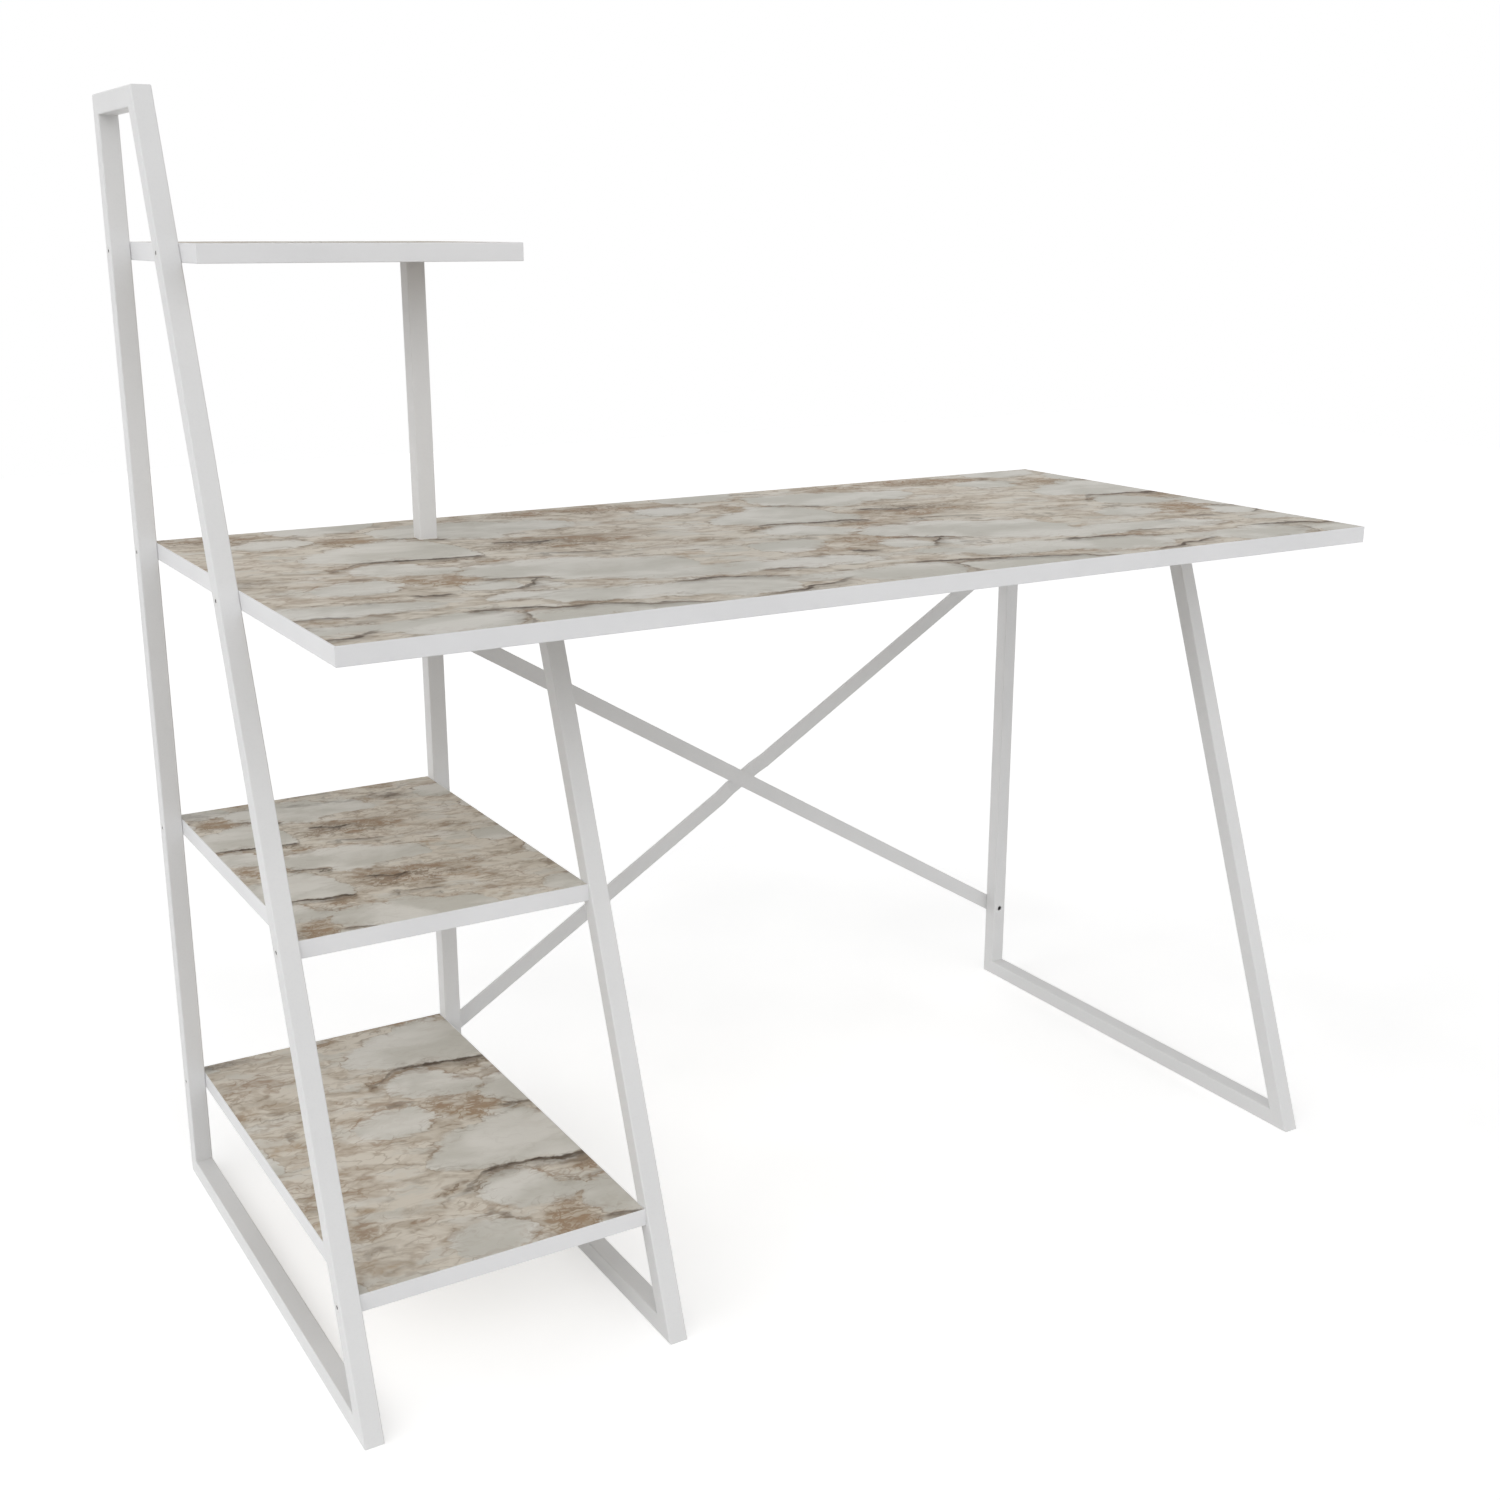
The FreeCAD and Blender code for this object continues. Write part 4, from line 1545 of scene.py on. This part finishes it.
@dataclass
class BoardScrews:
    """The countersunk screws that hold the boards and the post."""

    def dress(self) -> None:
        """Dress each group, painted on the planes where its heads lie."""
        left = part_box("left_frame_screws")
        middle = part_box("middle_frame_screws")
        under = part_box("desktop_screws")
        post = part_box("post_screws")
        groups = {
            "left_frame_screws": (Vector((1, 0, 0)), (left[0].x,)),
            "middle_frame_screws": (Vector((1, 0, 0)), (middle[1].x,)),
            "desktop_screws": (Vector((0, 0, 1)), (under[0].z,)),
            "post_screws": (Vector((0, 0, 1)), (post[0].z, post[1].z)),
        }
        for name, (axis, planes) in groups.items():
            finish = ScrewFinish("painted_" + name, axis=axis, head_planes=planes)
            dress_node(name, finish.material())


@dataclass
class Studio:
    """Pale floor, soft light and the camera."""

    floor_size: float = 14.0
    floor_colour: Colour = shade(236, 236, 236)
    floor_shadow: Colour = shade(229, 229, 229)
    floor_grain: Grain = Grain(3)
    floor_roughness: float = 0.9
    floor_specular: float = 0.1
    floor_glow: float = 0.45
    horizon: float = 0.5
    around: float = 1.27
    wall_top: float = 0.4
    ceiling_start: float = 0.55
    bright_side: Vector = Vector((-1.2, -0.67, 0.0))
    camera_place: Vector = Vector((-1.0352, -1.6928, 1.0686))
    camera_pitch: float = 15.984
    camera_yaw: float = 30.988
    camera_roll: float = 0.027
    focal_share: float = 1811 / 1500
    sensor: float = 36.0
    clip: tuple[float, float] = (0.05, 60.0)

    @staticmethod
    def seen(graph: Graph) -> Socket:
        """1 for the rays that show the background: from the camera, off gloss and through glass.

        Args:
            graph: The graph to add to.

        Returns:
            1 for such a ray and 0 for any other.
        """
        path = graph.node("ShaderNodeLightPath").outputs
        seen = graph.math("MAXIMUM", path["Is Camera Ray"], path["Is Glossy Ray"])
        return graph.math("MAXIMUM", seen, path["Is Transmission Ray"])

    def floor(self) -> bpy.types.Object:
        """Build the floor, which keeps the desk's shadow.

        Returns:
            The floor.
        """
        mesh = bpy.data.meshes.new("floor")
        plane = bmesh.new()
        bmesh.ops.create_grid(plane, x_segments=1, y_segments=1, size=self.floor_size / 2)
        plane.to_mesh(mesh)
        plane.free()
        floor = bpy.data.objects.new("floor", mesh)
        bpy.context.scene.collection.objects.link(floor)
        material = bpy.data.materials.new("studio_floor")
        material.use_nodes = True
        graph = Graph(material.node_tree)
        shader = material.node_tree.nodes["Principled BSDF"]
        place = graph.node("ShaderNodeTexCoord").outputs["Object"]
        tone = graph.eased(graph.noise(place, self.floor_grain), *NOISE_SPREAD)
        graph.feed(shader.inputs["Base Color"], graph.mix(tone, self.floor_colour, self.floor_shadow))
        shader.inputs["Roughness"].default_value = self.floor_roughness
        shader.inputs["Specular IOR Level"].default_value = self.floor_specular
        shader.inputs["Emission Color"].default_value = (1, 1, 1, 1)
        glow = graph.math("MULTIPLY", self.seen(graph), self.floor_glow)
        graph.feed(shader.inputs["Emission Strength"], glow)
        mesh.materials.append(material)
        return floor

    def world(self) -> None:
        """Soft light from all sides, strongest on the left front, and white where it is seen."""
        world = bpy.data.worlds.new("studio_light")
        bpy.context.scene.world = world
        world.use_nodes = True
        graph = Graph(world.node_tree)
        lit = world.node_tree.nodes["Background"]
        sky = graph.node("ShaderNodeTexCoord").outputs["Generated"]
        up = graph.parts(sky)[2]
        level = graph.math("SUBTRACT", graph.eased(up, 0.0, self.wall_top, self.horizon, self.around),
                           graph.eased(up, self.ceiling_start, 1.0, 0.0, self.around))
        side = graph.vector("DOT_PRODUCT", sky, self.bright_side)
        level = graph.math("MULTIPLY_ADD", side, graph.math("MAXIMUM", up, 0.0), level)
        graph.feed(lit.inputs["Strength"], graph.math("MAXIMUM", level, 0.0))
        lit.inputs["Color"].default_value = (1.0, 1.0, 1.0, 1.0)
        white = graph.node("ShaderNodeBackground")
        white.inputs["Color"].default_value = (1.0, 1.0, 1.0, 1.0)
        white.inputs["Strength"].default_value = 1.0
        both = graph.node("ShaderNodeMixShader")
        graph.feed(both.inputs[0], self.seen(graph))
        graph.feed(both.inputs[1], lit.outputs[0])
        graph.feed(both.inputs[2], white.outputs[0])
        graph.feed(world.node_tree.nodes["World Output"].inputs["Surface"], both.outputs[0])

    def camera(self) -> bpy.types.Object:
        """Build the camera at the photograph's viewing angle.

        Returns:
            The camera.
        """
        data = bpy.data.cameras.new("camera")
        data.sensor_fit = "AUTO"
        data.sensor_width = self.sensor
        data.lens = self.focal_share * self.sensor
        data.clip_start, data.clip_end = self.clip
        camera = bpy.data.objects.new("camera", data)
        bpy.context.scene.collection.objects.link(camera)
        turn = (Matrix.Rotation(math.radians(-self.camera_yaw), 4, "Z")
                @ Matrix.Rotation(math.radians(90 - self.camera_pitch), 4, "X")
                @ Matrix.Rotation(math.radians(self.camera_roll), 4, "Z"))
        camera.matrix_world = Matrix.Translation(self.camera_place) @ turn
        bpy.context.scene.camera = camera
        return camera

    def build(self) -> None:
        """Set up the camera, floor, light and plain view."""
        self.camera()
        self.floor()
        self.world()
        bpy.context.scene.view_settings.view_transform = "Standard"


def main() -> None:
    """Build and dress the desk and its studio."""
    logging.basicConfig(level=logging.INFO, format="%(name)s: %(message)s")
    Studio().build()

    coat = PaintFinish("white_powder_coat_peel", shade(228, 228, 228), shade(222, 222, 222)).material()
    moulded = PaintFinish("moulded_white_plug", shade(230, 230, 228), shade(224, 224, 222),
                          roughness=0.5, peel_scale=600.0).material()
    band = BandFinish().material()
    pattern = MarblePrint().group()

    corner = Vector((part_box("desktop_left_edge_band")[0].x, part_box("desktop_front_edge_band")[0].y, 0.0))
    shelf_limits = (180.0, 454.0)
    boards = (
        BandedBoard("desktop", offset=(0.0, 0.0)),
        BandedBoard("bottom_shelf", offset=(-48.0, -125.0), limits=shelf_limits, marks=(
            Cloud(15, 594, 60, 13, -8, 0.7),
        )),
        BandedBoard("middle_shelf", offset=(138.7, -326.0), scale=0.66, limits=shelf_limits, marks=(
            Cloud(228, 548, 34, 15, -6, 0.95),
            Cloud(243, 572, 26, 5, 18, 0.5),
            Cloud(205, 562, 30, 5, 12, 0.6),
            Cloud(170, 556, 28, 4, -12, 0.6),
            Cloud(128, 562, 26, 4, -22, 0.55),
            Cloud(60, 580, 60, 5, -10, 0.4),
            Cloud(15, 575, 14, 22, 0, 0.5),
        )),
        BandedBoard("upper_shelf", offset=(60.0, -70.0)),
    )
    for board in boards:
        board.dress(pattern, corner, band)
    for name in ("left_frame", "middle_frame", "right_frame"):
        WeldedFrame(name).dress(coat)
    ShelfPost().dress(coat, moulded)
    brace = CrossedBrace()
    brace.dress(coat, ZincFinish().material())
    brace.bolts(BoltFinish())
    BoardScrews().dress()


if __name__ == "__main__":
    main()
